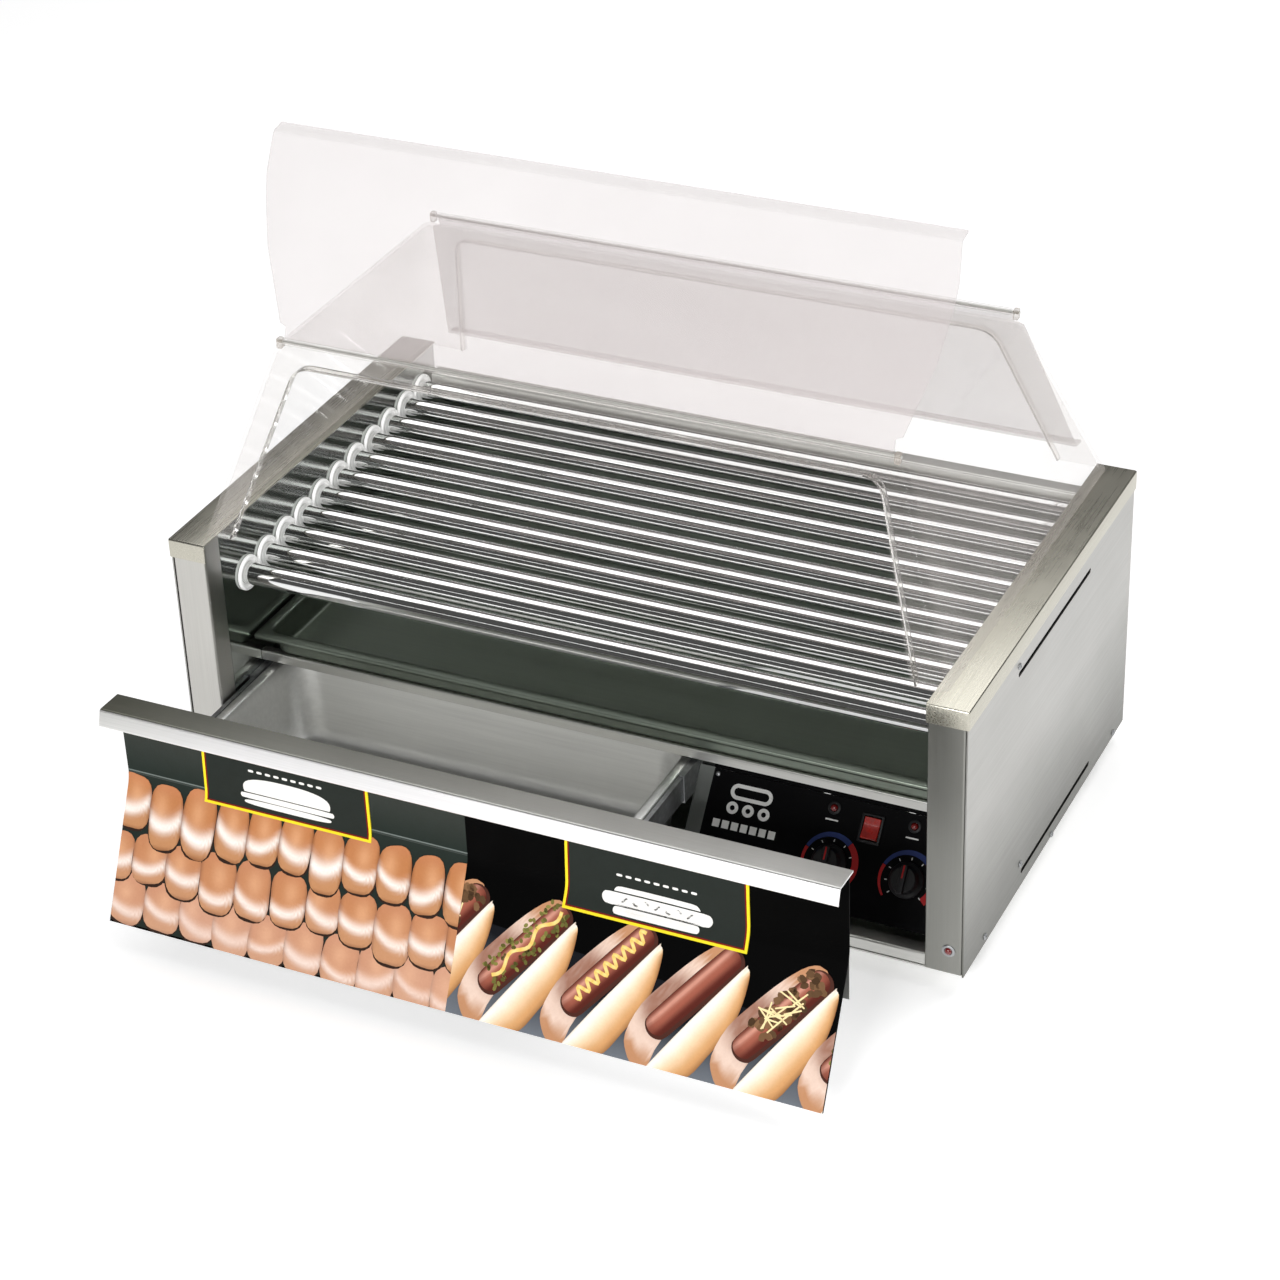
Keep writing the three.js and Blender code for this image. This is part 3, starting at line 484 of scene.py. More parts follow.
def bevelled(work, edges, radius, steps):
    bmesh.ops.bevel(work, geom=edges, offset=radius, segments=steps, profile=0.5, affect="EDGES")


def rounded_block(name, low, high, radius, steps=3, level=False):
    """A block with rounded edges between two millimetre corners; level ones stand at the frame's origin."""
    work = block(low, high)
    if radius:
        bevelled(work, work.edges[:], radius, steps)
    for v in work.verts:
        v.co = v.co * MM if level else at(*v.co)
    return settled(name, work)


def boolean(target, tool, operation="DIFFERENCE"):
    """The first mesh cut by, or joined to, the second; both are used up."""
    a, b = placed("target", target), placed("tool", tool)
    step = a.modifiers.new("cut", "BOOLEAN")
    step.operation = operation
    step.object = b
    step.solver = "EXACT"
    bpy.context.view_layer.update()
    done = bpy.data.meshes.new_from_object(a.evaluated_get(bpy.context.evaluated_depsgraph_get()))
    for o in (a, b):
        bpy.data.objects.remove(o)
    return done


def dress(node, material, round_edges=0.0):
    """A CAD node whose shape is right keeps its mesh and gets its finish."""
    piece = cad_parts[node]
    piece.data.materials.clear()
    piece.data.materials.append(material)
    if round_edges:
        round_off(piece, round_edges, 40)


# ---------------------------------------------------------------- camera, light and floor

CAMERA_PLACE = at(1346, -2504, TOP + 1722)
AZIMUTH, ELEVATION, ROLL = 26.392, 31.612, -2.342
LENS = 92.17
WORLD_STRENGTH = 0.09
FLOOR_HALF = 40.0
FLOOR_GLOW = 0.44


def camera():
    data = bpy.data.cameras.new("camera")
    data.lens = LENS
    data.sensor_width = 36
    data.clip_end = 50
    eye = placed("camera", data)
    eye.location = CAMERA_PLACE
    turn = Matrix.Rotation(math.radians(AZIMUTH), 4, "Z")
    tilt = Matrix.Rotation(math.radians(90 - ELEVATION), 4, "X")
    roll = Matrix.Rotation(math.radians(ROLL), 4, "Z")
    eye.rotation_euler = (turn @ tilt @ roll).to_euler()
    bpy.context.scene.camera = eye


def soft_light(name, place, target, size, power):
    data = bpy.data.lights.new(name, "AREA")
    data.shape = "RECTANGLE"
    data.size, data.size_y = size
    data.energy = power
    lamp = placed(name, data)
    lamp.location = place
    lamp.rotation_euler = (Vector(place) - Vector(target)).to_track_quat("Z", "Y").to_euler()


def studio():
    world = bpy.data.worlds.new("studio")
    world.use_nodes = True
    background = world.node_tree.nodes["Background"]
    background.inputs["Color"].default_value = (1.0, 0.995, 0.985, 1)
    background.inputs["Strength"].default_value = WORLD_STRENGTH
    bpy.context.scene.world = world
    soft_light("overhead", (0.0, 1.7, 3.7), (0.0, 1.1, 0.0), (5.6, 3.2), 124)
    soft_light("front_strip", (0.0, -2.6, 2.4), (0.0, 0.0, 0.2), (5.6, 0.10), 5)
    soft_light("key", (0.4, -3.6, 1.7), (0, 0, 0.2), (1.2, 1.2), 104)
    soft_light("side", (2.8, -0.3, 1.7), (0, 0.1, 0.3), (0.7, 0.7), 14)
    bpy.context.scene.view_settings.view_transform = "Standard"


def floor():
    """A pale floor with a little light of its own, so that it runs into a white background."""
    corners = [(x * FLOOR_HALF, y * FLOOR_HALF, 0) for x, y in ((-1, -1), (1, -1), (1, 1), (-1, 1))]
    mesh = mesh_from("floor", corners, [(0, 1, 2, 3)])
    n = Nodes("floor_paint", (0.86, 0.86, 0.86), 0.8)
    n.link(n.blend(n.spread(n.noise(1.3), 0, 1), (0.86, 0.86, 0.86), (0.84, 0.84, 0.845)), "Base Color")
    n.set("Emission Color", (1, 1, 1, 1))
    n.set("Emission Strength", FLOOR_GLOW)
    mesh.materials.append(n.material)
    ground = placed("floor", mesh)


camera()
studio()
floor()

# ---------------------------------------------------------------- body


def top_cap(side):
    """A cap over a side housing, its top, outer and front faces folded from one sheet."""
    low, high = low_high(f"{side}_top_cap")
    work = block(low, high)
    outer = high[0] if side == "right" else low[0]
    sheet_faces = ((2, high[2]), (1, low[1]), (0, outer))

    def on_faces(edge):
        """How many of the three sheet faces an edge lies on."""
        return sum(all(abs(v.co[axis] - value) < 0.01 for v in edge.verts) for axis, value in sheet_faces)

    bevelled(work, [e for e in work.edges if on_faces(e) == 2], 2.2, 4)
    for v in work.verts:
        v.co = at(*v.co)
    shell = settled("cap", work)
    hollow_low = [low[0] - 5, low[1] + SHEET, low[2] - 5]
    hollow_high = [high[0] - SHEET, high[1] + 5, high[2] - SHEET]
    if side == "left":
        hollow_low[0], hollow_high[0] = low[0] + SHEET, high[0] + 5
    hollow = rounded_block("hollow", hollow_low, hollow_high, 0)
    cap = boolean(shell, hollow)
    make(f"{side}_cap_sheet", cap, "cabinet", CAP_STEEL, [f"{side}_top_cap"], round_edges=0.25)


def front_post(side):
    low, high = low_high(f"{side}_front_post")
    inner, outer = (low[0], high[0]) if side == "right" else (high[0], low[0])
    half = SHEET / 2
    sign = 1 if side == "right" else -1
    line = [
        (inner + sign * half, high[1]),
        (inner + sign * half, low[1] + half),
        (outer - sign * half, low[1] + half),
        (outer - sign * half, 16),
    ]
    mesh = folded(f"{side}_post", line, 2.2, "z", low[2], high[2])
    # Painted light and shade: the right post gets the shaded steel, the left the lit one.
    steel = RIGHT_POST_SHADED_STEEL if side == "right" else LEFT_POST_LIT_STEEL
    make(f"{side}_post_sheet", mesh, "cabinet", steel, [f"{side}_front_post"], round_edges=0.2)


def channel(node):
    """A channel rail open at the bottom, its two long folds rounded."""
    low, high = low_high(node)
    half = SHEET / 2
    line = [(low[1] + half, low[2]), (low[1] + half, high[2] - half), (high[1] - half, high[2] - half)]
    line.append((high[1] - half, low[2]))
    mesh = folded(node, line, 2.0, "x", low[0], high[0])
    make(f"{node}_sheet", mesh, "cabinet", SATIN_X, [node], round_edges=0.2)


def ledge():
    low, high = low_high("rear_ledge")
    half = SHEET / 2
    line = [(low[1] + half, low[2]), (low[1] + half, high[2] - half), (high[1], high[2] - half)]
    mesh = folded("ledge", line, 2.5, "x", low[0], high[0])
    make("rear_ledge_sheet", mesh, "cabinet", SATIN_X, ["rear_ledge"], round_edges=0.2)


def screw_mesh():
    """A pan-head screw's head about +Z with a cross recess, at the frame's origin."""
    radius, rim, rise = 4.6, 0.6, 1.9
    dome = [(0, 0), (radius, 0), (radius, rim)]
    dome += [(radius * math.cos(a), rim + rise * math.sin(a)) for a in (0.35, 0.7, 1.05, 1.35)]
    head = lathe("screw", dome + [(0, rim + rise)], Vector((0, 0, 0)), "z", 28)
    for low, high in (((-2.4, -0.45, 1.0), (2.4, 0.45, 4)), ((-0.45, -2.4, 1.0), (0.45, 2.4, 4))):
        head = boolean(head, rounded_block("recess", low, high, 0, level=True))
    return head


SCREW = screw_mesh()


def screw(name, place, facing, scale):
    """A screw head standing on a face, turned to face along a direction."""
    turn = Vector(facing).to_track_quat("Z", "Y").to_matrix().to_4x4()
    mesh = SCREW.copy()
    mesh.transform(Matrix.Translation(place) @ turn @ Matrix.Scale(scale, 4) @ Matrix.Rotation(0.4, 4, "Z"))
    make(name, mesh, "cabinet", ZINC)


def body_screws():
    spots = [(150, TOP - 35), (273, TOP - 320), (171, TOP - 292), (483, TOP - 317), (65, TOP - 313)]
    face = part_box("right_side_panel")[1].x / MM
    for i, (y, z) in enumerate(spots):
        screw(f"right_panel_screw_{i + 1}", at(face, y, z), (1, 0, 0), scale=0.8)
        screw(f"left_panel_screw_{i + 1}", at(-face, y, z), (-1, 0, 0), scale=0.8)
    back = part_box("rear_panel")[1].y
    for i, x in enumerate((-436, -220, 0, 220, 436)):
        for row, z in (("low", 34), ("high", TOP - 44)):
            point = Vector((x * MM, back, z * MM))
            screw(f"rear_panel_screw_{row}_{i + 1}", point, (0, 1, 0), scale=0.8)


def foot(node):
    """A rubber foot: ribbed sides, a rounded tread and a washer recess."""
    low, high = low_high(node)
    centre = at((low[0] + high[0]) / 2, (low[1] + high[1]) / 2, 0)
    tall = high[2]
    profile = [(0, 0.6), (8, 0.6), (8.6, 0), (12.6, 0), (13.9, 0.9)]
    for i in range(5):
        z = 2.5 + i * 3.4
        r = 14.0 + 2.2 * (z / tall)
        profile += [(r, z), (r + 0.25, z + 0.5), (r + 0.25, z + 2.2), (r, z + 2.7)]
    profile += [(16.4, tall - 0.8), (15.8, tall), (0, tall)]
    make(f"{node}_rubber", lathe(node, profile, centre, "z", 40), "cabinet", RUBBER, [node])


def build_body():
    for side in ("left", "right"):
        top_cap(side)
        front_post(side)
        dress(f"{side}_side_panel", SIDE_STEEL, 0.4)
        dress(f"{side}_inner_wall", MIRROR, 0.3)
        for end in ("front", "rear"):
            foot(f"{side}_{end}_foot")
    channel("mid_rail")
    channel("bottom_rail")
    ledge()
    body_screws()
    dress("base_pan", SATIN_X, 0.4)
    dress("rear_panel", SATIN_X, 0.4)
    dress("tray_rear_rest", ZINC, 0.3)
    dress("cord_gland", BLACK, 0.6)
    dress("control_box_divider", DIVIDER_SHADED_STEEL, 0.3)


# ---------------------------------------------------------------- rollers and drive


def roller_centre(i):
    low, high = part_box(f"roller_{i + 1}")
    return Vector((0, (low.y + high.y) / 2, (low.z + high.z) / 2))


def roller(i):
    """A chromed tube with turned ends, and the sprocket on its right end inside the housing."""
    node = f"roller_{i + 1}"
    low, high = low_high(node)
    r, b = ROLLER_RADIUS, ROLLER_BORE
    left, right = low[0], high[0]
    profile = [(b, left), (r - 0.6, left), (r, left + 0.6), (r, right - 0.6), (r - 0.6, right), (b, right)]
    tube = lathe(node, profile, roller_centre(i), "x", 64)
    make(f"{node}_tube", tube, node, CHROME, [node])
    make(f"{node}_sprocket", sprocket(roller_centre(i), r + 0.05), node, ZINC)


def sprocket(centre, bore):
    """Twelve rounded teeth about X."""
    teeth, tip, root = 12, 15.1, 13.3
    ring = []
    for i in range(teeth):
        for part, radius in ((-0.32, root), (-0.12, tip), (0.12, tip), (0.32, root)):
            angle = 2 * math.pi * (i + part) / teeth
            ring.append((radius * math.cos(angle), radius * math.sin(angle)))
    hole = []
    for u, v in ring:
        angle = math.atan2(v, u)
        hole.append((bore * math.cos(angle), bore * math.sin(angle)))
    return carried("sprocket", ring, hole, lambda p, x: centre + Vector((x, *p)) * MM, *SPROCKET_X, True)


def seals(side):
    """The white seal rings on one wall, each with a sleeve that goes through it."""
    sign = 1 if side == "right" else -1
    inside = WALL_X - GAP
    bore, web, bead = ROLLER_RADIUS + 0.7, inside - 1.2, 1.9
    middle = SEAL_RADIUS - bead
    profile = [(bore, web), (middle - bead, web)]
    for step in range(9):
        angle = math.pi * step / 8
        profile.append((middle - bead * math.cos(angle), web - 0.8 - 1.7 * math.sin(angle)))
    profile += [(SEAL_RADIUS, inside - 0.4), (SEAL_RADIUS - 0.4, inside)]
    profile += [(SEAL_SLEEVE, inside), (SEAL_SLEEVE, inside + 4), (bore, inside + 4)]
    flat = [(r, sign * x) for r, x in profile]
    rings = joined("seals", [lathe("seal", flat, roller_centre(i), "x", 56) for i in range(ROLLERS)])
    make(f"{side}_seal_rings", rings, "cabinet", GLOWING_SEAL_WHITE, [f"{side}_roller_seals"])


def build_rollers():
    for i in range(ROLLERS):
        roller(i)
    for side in ("left", "right"):
        seals(side)
    for node in ("heating_elements", "drive_chain", "gear_motor", "motor_sprocket"):
        dress(node, ZINC, 0.3)


# ---------------------------------------------------------------- pans


def rounded_ring(x0, x1, y0, y1, radius, z, steps=10):
    ring = []
    corners = ((x1, y1, 0), (x0, y1, 90), (x0, y0, 180), (x1, y0, 270))
    for cx, cy, start in corners:
        ox = cx - radius if cx == x1 else cx + radius
        oy = cy - radius if cy == y1 else cy + radius
        for i in range(steps + 1):
            angle = math.radians(start + 90 * i / steps)
            ring.append(at(ox + radius * math.cos(angle), oy + radius * math.sin(angle), z))
    return ring


def pressed_pan(node, rim_width, mouth_radius, floor_radius, inset, rim_radius, material, body):
    """A pan pressed from one sheet: rolled rim, rounded mouth, sloping walls, large floor fillet."""
    low, high = low_high(node)
    x0, y0, floor_z = low
    x1, y1, rim_z = high
    thick = 1.1
    rings = []

    def ring(grow, z, radius):
        rings.append(rounded_ring(x0 + grow, x1 - grow, y0 + grow, y1 - grow, radius, z))

    ring(0.6, rim_z - 5.5, rim_radius)
    ring(0.3, rim_z - 2.2, rim_radius)
    ring(0.9, rim_z - 0.8, rim_radius)
    ring(2.4, rim_z - 0.1, rim_radius)
    ring(rim_width - 3.0, rim_z - 0.1, mouth_radius + 3.0)
    ring(rim_width - 1.2, rim_z - 0.6, mouth_radius + 1.2)
    ring(rim_width, rim_z - 2.4, mouth_radius)
    wall_top, wall_low = rim_z - 2.4, floor_z + thick + floor_radius
    for i in range(1, 5):
        t = i / 4
        ring(rim_width + inset * t, wall_top + (wall_low - wall_top) * t, mouth_radius)
    for i in range(1, 8):
        angle = math.pi / 2 * i / 7
        grow = rim_width + inset + floor_radius * (1 - math.cos(angle))
        z = wall_low - floor_radius * math.sin(angle)
        ring(grow, z, max(mouth_radius - floor_radius * (1 - math.cos(angle)) * 0.8, 3))
    count = len(rings[0])
    verts = [p for r in rings for p in r]
    faces = []
    for k in range(len(rings) - 1):
        for i in range(count):
            j = (i + 1) % count
            faces.append((k * count + i, k * count + j, (k + 1) * count + j, (k + 1) * count + i))
    faces.append(tuple(range((len(rings) - 1) * count, len(rings) * count)))
    mesh = mesh_from(node, verts, faces)
    work = bmesh.new()
    work.from_mesh(mesh)
    if sum(f.normal.z * f.calc_area() for f in work.faces) < 0:
        bmesh.ops.reverse_faces(work, faces=work.faces)
    work.to_mesh(mesh)
    work.free()
    piece = make(f"{node}_pressing", mesh, body, material, [node], smooth=50)
    shell = piece.modifiers.new("sheet", "SOLIDIFY")
    shell.thickness = thick * MM
    shell.offset = -1


def build_pans():
    pressed_pan("bun_pan", 12, 34, 17, 11, 8, PAN_STEEL, "drawer")
    pressed_pan("drip_tray", 14, 12, 5, 4, 3, TRAY_SHADED_STEEL, "cabinet")


# ---------------------------------------------------------------- control panel

PANEL_TOP = (98, TOP - 205)
PANEL_FOOT = (25, TOP - 298)
SLOPE = math.atan2(PANEL_TOP[1] - PANEL_FOOT[1], PANEL_TOP[0] - PANEL_FOOT[0])
PANEL_MIDDLE = at(0, (PANEL_TOP[0] + PANEL_FOOT[0]) / 2, (PANEL_TOP[1] + PANEL_FOOT[1]) / 2)
PANEL_TURN = Matrix.Translation(PANEL_MIDDLE) @ Matrix.Rotation(SLOPE, 4, "X")
KNOBS = {"front_heat_knob": 284, "rear_heat_knob": 370}
KNOB_UP = -9.5
PILOTS = {"front_pilot_lamp": 276, "rear_pilot_lamp": 365}
PILOT_UP = 46.4
SWITCH_X, SWITCH_UP = 320, 33.7
DIAL_RADIUS = 31.5
DIAL_START, DIAL_SWEEP = 222, 264
DIAL_TICKS = 9
PRINT_LOW, RING_HIGH, MARK_HIGH = 0.05, 0.25, 0.3


def on_panel(mesh):
    """Carries a mesh built level, in metres, with Z out of the panel, onto the panel."""
    mesh.transform(PANEL_TURN)
    return mesh


def flat_band(name, points_in, points_out, high):
    """A thin band of print between two lines of (x, y) millimetre points, up to a height."""
    return carried(name, points_in, points_out, lambda p, z: Vector((*p, z)) * MM, PRINT_LOW, high)


def panel_print(name, mesh, material=PRINT_WHITE):
    make(name, on_panel(mesh), "cabinet", material)


def dial(name, x):
    """The printed ring round a knob: it widens clockwise, red, then blue over the top, then red."""
    spans = [("red_low", DIAL_START, 158, PRINT_RED), ("blue", 157, 52, PRINT_BLUE)]
    spans.append(("red_high", 51, DIAL_START - DIAL_SWEEP, PRINT_RED))
    for part, start, end, material in spans:
        inner, outer = [], []
        for i in range(25):
            angle = start + (end - start) * i / 24
            wide = 2.2 + 6.2 * (DIAL_START - angle) / DIAL_SWEEP
            way = Vector((math.cos(math.radians(angle)), math.sin(math.radians(angle))))
            for line, r in ((inner, DIAL_RADIUS - wide), (outer, DIAL_RADIUS)):
                line.append((x + way.x * r, KNOB_UP + way.y * r))
        panel_print(f"{name}_dial_{part}", flat_band(name, inner, outer, RING_HIGH), material)
    marks = []
    for i in range(DIAL_TICKS):
        angle = math.radians(DIAL_START - DIAL_SWEEP * i / (DIAL_TICKS - 1))
        way, side = Vector((math.cos(angle), math.sin(angle))), Vector((-math.sin(angle), math.cos(angle)))
        ends = [(way * r + side * s) for r, s in ((21.5, -0.45), (24.3, -0.45), (21.5, 0.45), (24.3, 0.45))]
        points = [(x + p.x, KNOB_UP + p.y) for p in ends]
        marks.append(flat_band("mark", points[:2], points[2:], MARK_HIGH))
    panel_print(f"{name}_dial_marks", joined("marks", marks))


def knob(name, x):
    """A knob with a dished skirt, a grip bar and a red pointer line."""
    centre = Vector((x, KNOB_UP, 0)) * MM
    skirt = [(3.6, 1), (18.2, 1), (19, 1.8), (19, 4.2), (18.2, 5.4), (15.6, 7.2), (14.4, 9.5), (13.6, 15)]
    skirt += [(12.8, 16), (3, 16.2), (0, 16.2), (0, 14.2), (3.6, 14.2)]
    body = lathe(name, skirt, centre, "z", 72)
    bar = rounded_block("bar", (-3.6, -15.2, 9), (3.6, 15.2, 20.8), 1.6, 4, True)
    bar.transform(Matrix.Translation(centre))
    whole = on_panel(boolean(body, bar, "UNION"))
    make(f"{name}_moulding", whole, name, BLACK, [name], round_edges=0.3)
    line = rounded_block("line", (-0.9, 1.0, 20.4), (0.9, 14.6, 20.98), 0.2, 2, True)
    line.transform(Matrix.Translation(centre))
    make(f"{name}_pointer", on_panel(line), name, PRINT_RED)


def rocker():
    """The power rocker in its bezel: dished faces either side of its middle line."""
    place = Matrix.Translation(Vector((SWITCH_X, SWITCH_UP, 0)) * MM)
    frame_out = rounded_block("bezel", (-12.4, -15.6, 0.1), (12.4, 15.6, 2.2), 1.0, 3, True)
    frame_in = rounded_block("opening", (-9.6, -13.0, -5), (9.6, 13.0, 9), 0.8, 2, True)
    bezel = boolean(frame_out, frame_in)
    bezel.transform(place)
    make("rocker_bezel", on_panel(bezel), "cabinet", BLACK, round_edges=0.15)
    line = [(-11.4, 3.9), (-7, 3.0), (-2, 2.5), (0, 2.4), (2, 2.5), (7, 3.0), (11.4, 3.9)]
    foot = [(y, -5.9) for y, _ in line]
    mesh = carried("rocker", line, foot, lambda p, x: Vector((x, *p)) * MM, -8.9, 8.9)
    mesh.transform(Matrix.Rotation(math.radians(-7), 4, "X"))
    mesh.transform(place)
    make("rocker_cap", on_panel(mesh), "power_rocker", RED_ROCKER, ["power_rocker"], 60, 0.7)


def lens_profile():
    profile = [(0, -11.9), (3.9, -11.9), (3.9, 1.0)]
    profile += [(3.9 * math.cos(a), 1.0 + 3.0 * math.sin(a)) for a in (0.25, 0.55, 0.85, 1.15, 1.4)]
    return profile + [(0, 4.0)]


BEZEL_RING = [(4.6, -1.0), (4.6, 0.1), (7.2, 0.1), (7.0, 0.9), (6.0, 1.4), (4.5, 1.4)]
BEZEL_RING += [(4.1, 1.0), (4.1, -1.0)]


def pilot(name, x):
    centre = Vector((x, PILOT_UP, 0)) * MM
    lens, ring = (on_panel(lathe(name, profile, centre, "z", 36)) for profile in (lens_profile(), BEZEL_RING))
    make(f"{name}_lens", lens, "cabinet", RED_LENS, [name])
    make(f"{name}_bezel", ring, "cabinet", BLACK)


def post_lamp():
    low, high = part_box("post_lamp")
    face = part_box("right_front_post")[0].y
    centre = Vector(((low.x + high.x) / 2, face, (low.z + high.z) / 2))
    out = Vector((0, -1, 0))
    lens = lathe("post_lamp", lens_profile(), centre, out, 36)
    make("post_lamp_lens", lens, "cabinet", RED_LENS, ["post_lamp"])
    make("post_lamp_bezel", lathe("post_bezel", BEZEL_RING, centre, out, 36), "cabinet", ZINC)


def pictogram(name, x, up, scale):
    """A generic mark: a sausage outline lying over three rollers, with a row of bars under them."""
    parts = []
    outline_in, outline_out = [], []
    for i in range(41):
        angle = 2 * math.pi * i / 40
        c, s = math.cos(angle), math.sin(angle)
        shift = 9 if c > 0 else -9
        for line, r in ((outline_in, 2.6), (outline_out, 5.0)):
            line.append((x + scale * (shift + r * c), up + scale * (7 + r * s)))
    parts.append(flat_band("sausage", outline_in, outline_out, MARK_HIGH))
    for k in (-1, 0, 1):
        ring_in, ring_out = [], []
        for i in range(25):
            angle = 2 * math.pi * i / 24
            for line, r in ((ring_in, 1.6), (ring_out, 3.9)):
                across, rise = 10.5 * k + r * math.cos(angle), -3.4 + r * math.sin(angle)
                line.append((x + scale * across, up + scale * rise))
        parts.append(flat_band("roller", ring_in, ring_out, MARK_HIGH))
    low, high = up - scale * 17, up - scale * 12
    for k in range(7):
        left = x + scale * (k * 6.2 - 21)
        right = left + scale * 4.6
        parts.append(flat_band("bar", [(left, low), (right, low)], [(left, high), (right, high)], MARK_HIGH))
    panel_print(name, joined(name, parts))


def panel_flange():
    """The folded strip that closes the gap between the control panel and the rail above it."""
    low, high = low_high("control_panel")
    rail_low, rail_high = low_high("mid_rail")
    y = rail_high[1] - SHEET / 2
    top = rail_low[2] - GAP - SHEET / 2
    line = [(y, high[2] + GAP), (y, top), (y + 10, top)]
    mesh = folded("flange", line, 1.5, "x", low[0], high[0])
    make("control_panel_flange", mesh, "cabinet", PANEL_BLACK)


def build_controls():
    dress("control_panel", PANEL_BLACK, 0.4)
    panel_flange()
    for name, x in KNOBS.items():
        dial(name, x)
        knob(name, x)
        dress(name.replace("heat_knob", "thermostat"), BLACK, 0.4)
    rocker()
    for name, x in PILOTS.items():
        pilot(name, x)
        lower, upper = ([(x - 7, PILOT_UP - down), (x + 7, PILOT_UP - down)] for down in (13.4, 11.8))
        panel_print(f"{name}_mark", flat_band("bar", lower, upper, RING_HIGH))
    post_lamp()
    pictogram("panel_sign", 184, 28, 1.7)
    for i, (x, up) in enumerate(((142, 54), (404, 54), (142, -54), (404, -54))):
        place = PANEL_TURN @ (Vector((x, up, 0.05)) * MM)
        normal = PANEL_TURN.to_3x3() @ Vector((0, 0, 1))
        screw(f"panel_screw_{i + 1}", place, normal, scale=0.6)


build_body()
build_rollers()
build_pans()
build_controls()

for side in ("left", "right"):
    dress(f"{side}_slide_fixed_member", ZINC, 0.3)
    dress(f"{side}_slide_middle_member", ZINC, 0.3)
dress("drawer_frame", SATIN_X, 0.3)

# ---------------------------------------------------------------- drawer

HANDLE_BACK, HANDLE_FRONT, HANDLE_TOP_Z = -184, -218, TOP - 75
FRONT_SHEET = 2.0
FRONT_TOP, FRONT_BEND, FRONT_FOOT = (-188, TOP - 79), (-188, TOP - 175), (-256, TOP - 316)


def handle():
    """The pull across the drawer: flat top, rounded fold, finger lip with a hemmed edge."""
    low, high = low_high("drawer_handle")
    back, front, top = HANDLE_BACK, HANDLE_FRONT, HANDLE_TOP_Z
    line = [(back - 0.5, top - 2.0), (front + 1.0, top - 1.0)]
    line += [(front - 4.0, top - 17.2), (front - 2.6, top - 17.6)]
    mesh = folded("handle", line, 3.0, "x", low[0], high[0], 1.9, 8)
    lit_and_shaded_steels = (HANDLE_LIP_LIT_STEEL, HANDLE_TOP_SHADED_STEEL)
    pull = make("drawer_pull", mesh, "drawer", lit_and_shaded_steels, ["drawer_handle"], round_edges=0.35)
    # Painted light and shade: faces that look up get the shaded steel, the rest the lit steel.
    for face in pull.data.polygons:
        face.material_index = int(face.normal.z > 0.8)


def front_line():
    """The printed front's outer line from top to foot, its bend rounded, with distances along it."""
    line = filleted([FRONT_TOP, FRONT_BEND, FRONT_FOOT], 42, 16)
    lengths = [0.0]
    for a, b in zip(line, line[1:]):
        lengths.append(lengths[-1] + (b - a).length)
    return line, lengths


FRONT_LINE, FRONT_LENGTHS = front_line()


def on_front(x, down, lift):
    """A place on the printed front, down its face from its top edge and lifted off it."""
    down = min(max(down, 0.0), FRONT_LENGTHS[-1])
    i = max(k for k, length in enumerate(FRONT_LENGTHS[:-1]) if length <= down)
    a, b = FRONT_LINE[i], FRONT_LINE[i + 1]
    t = (down - FRONT_LENGTHS[i]) / (FRONT_LENGTHS[i + 1] - FRONT_LENGTHS[i])
    way = (b - a).normalized()
    normal = Vector((way.y, -way.x))
    p = a + (b - a) * t + normal * lift
    return at(x, p.x, p.y)


def drawer_front():
    """The bent sheet behind the print; its outer face follows the printed front's line."""
    low, high = low_high("drawer_front")
    middle, _ = both_sides(FRONT_LINE, FRONT_SHEET)
    left, right = both_sides(middle, FRONT_SHEET)
    mesh = carried("front", left, right, lambda p, w: along("x", p.x, p.y, w), low[0], high[0])
    make(
        "drawer_front_sheet", mesh, "drawer", PRINT_BLACK, ["drawer_front"], round_edges=0.3
    )


# ---------------------------------------------------------------- printed picture


# Distances down the front where patches are split, so that they follow its bend.
BEND_LINES = range(84, 110)
PRINT_HALF, PRINT_TOP, PRINT_FOOT = 404.6, 24, 252
LAYER_BACK, LAYER_FACE, LAYER_STEP = 0.04, 0.14, 0.010
SIGN_LEVEL = 120


def divide(work, point, way, clear):
    """Splits a patch along a line, dropping what lies beyond it where clear is set."""
    whole = work.verts[:] + work.edges[:] + work.faces[:]
    cut = bmesh.ops.bisect_plane(work, geom=whole, plane_co=point, plane_no=way, clear_outer=clear)
    return [e for e in cut["geom_cut"] if isinstance(e, bmesh.types.BMEdge)]


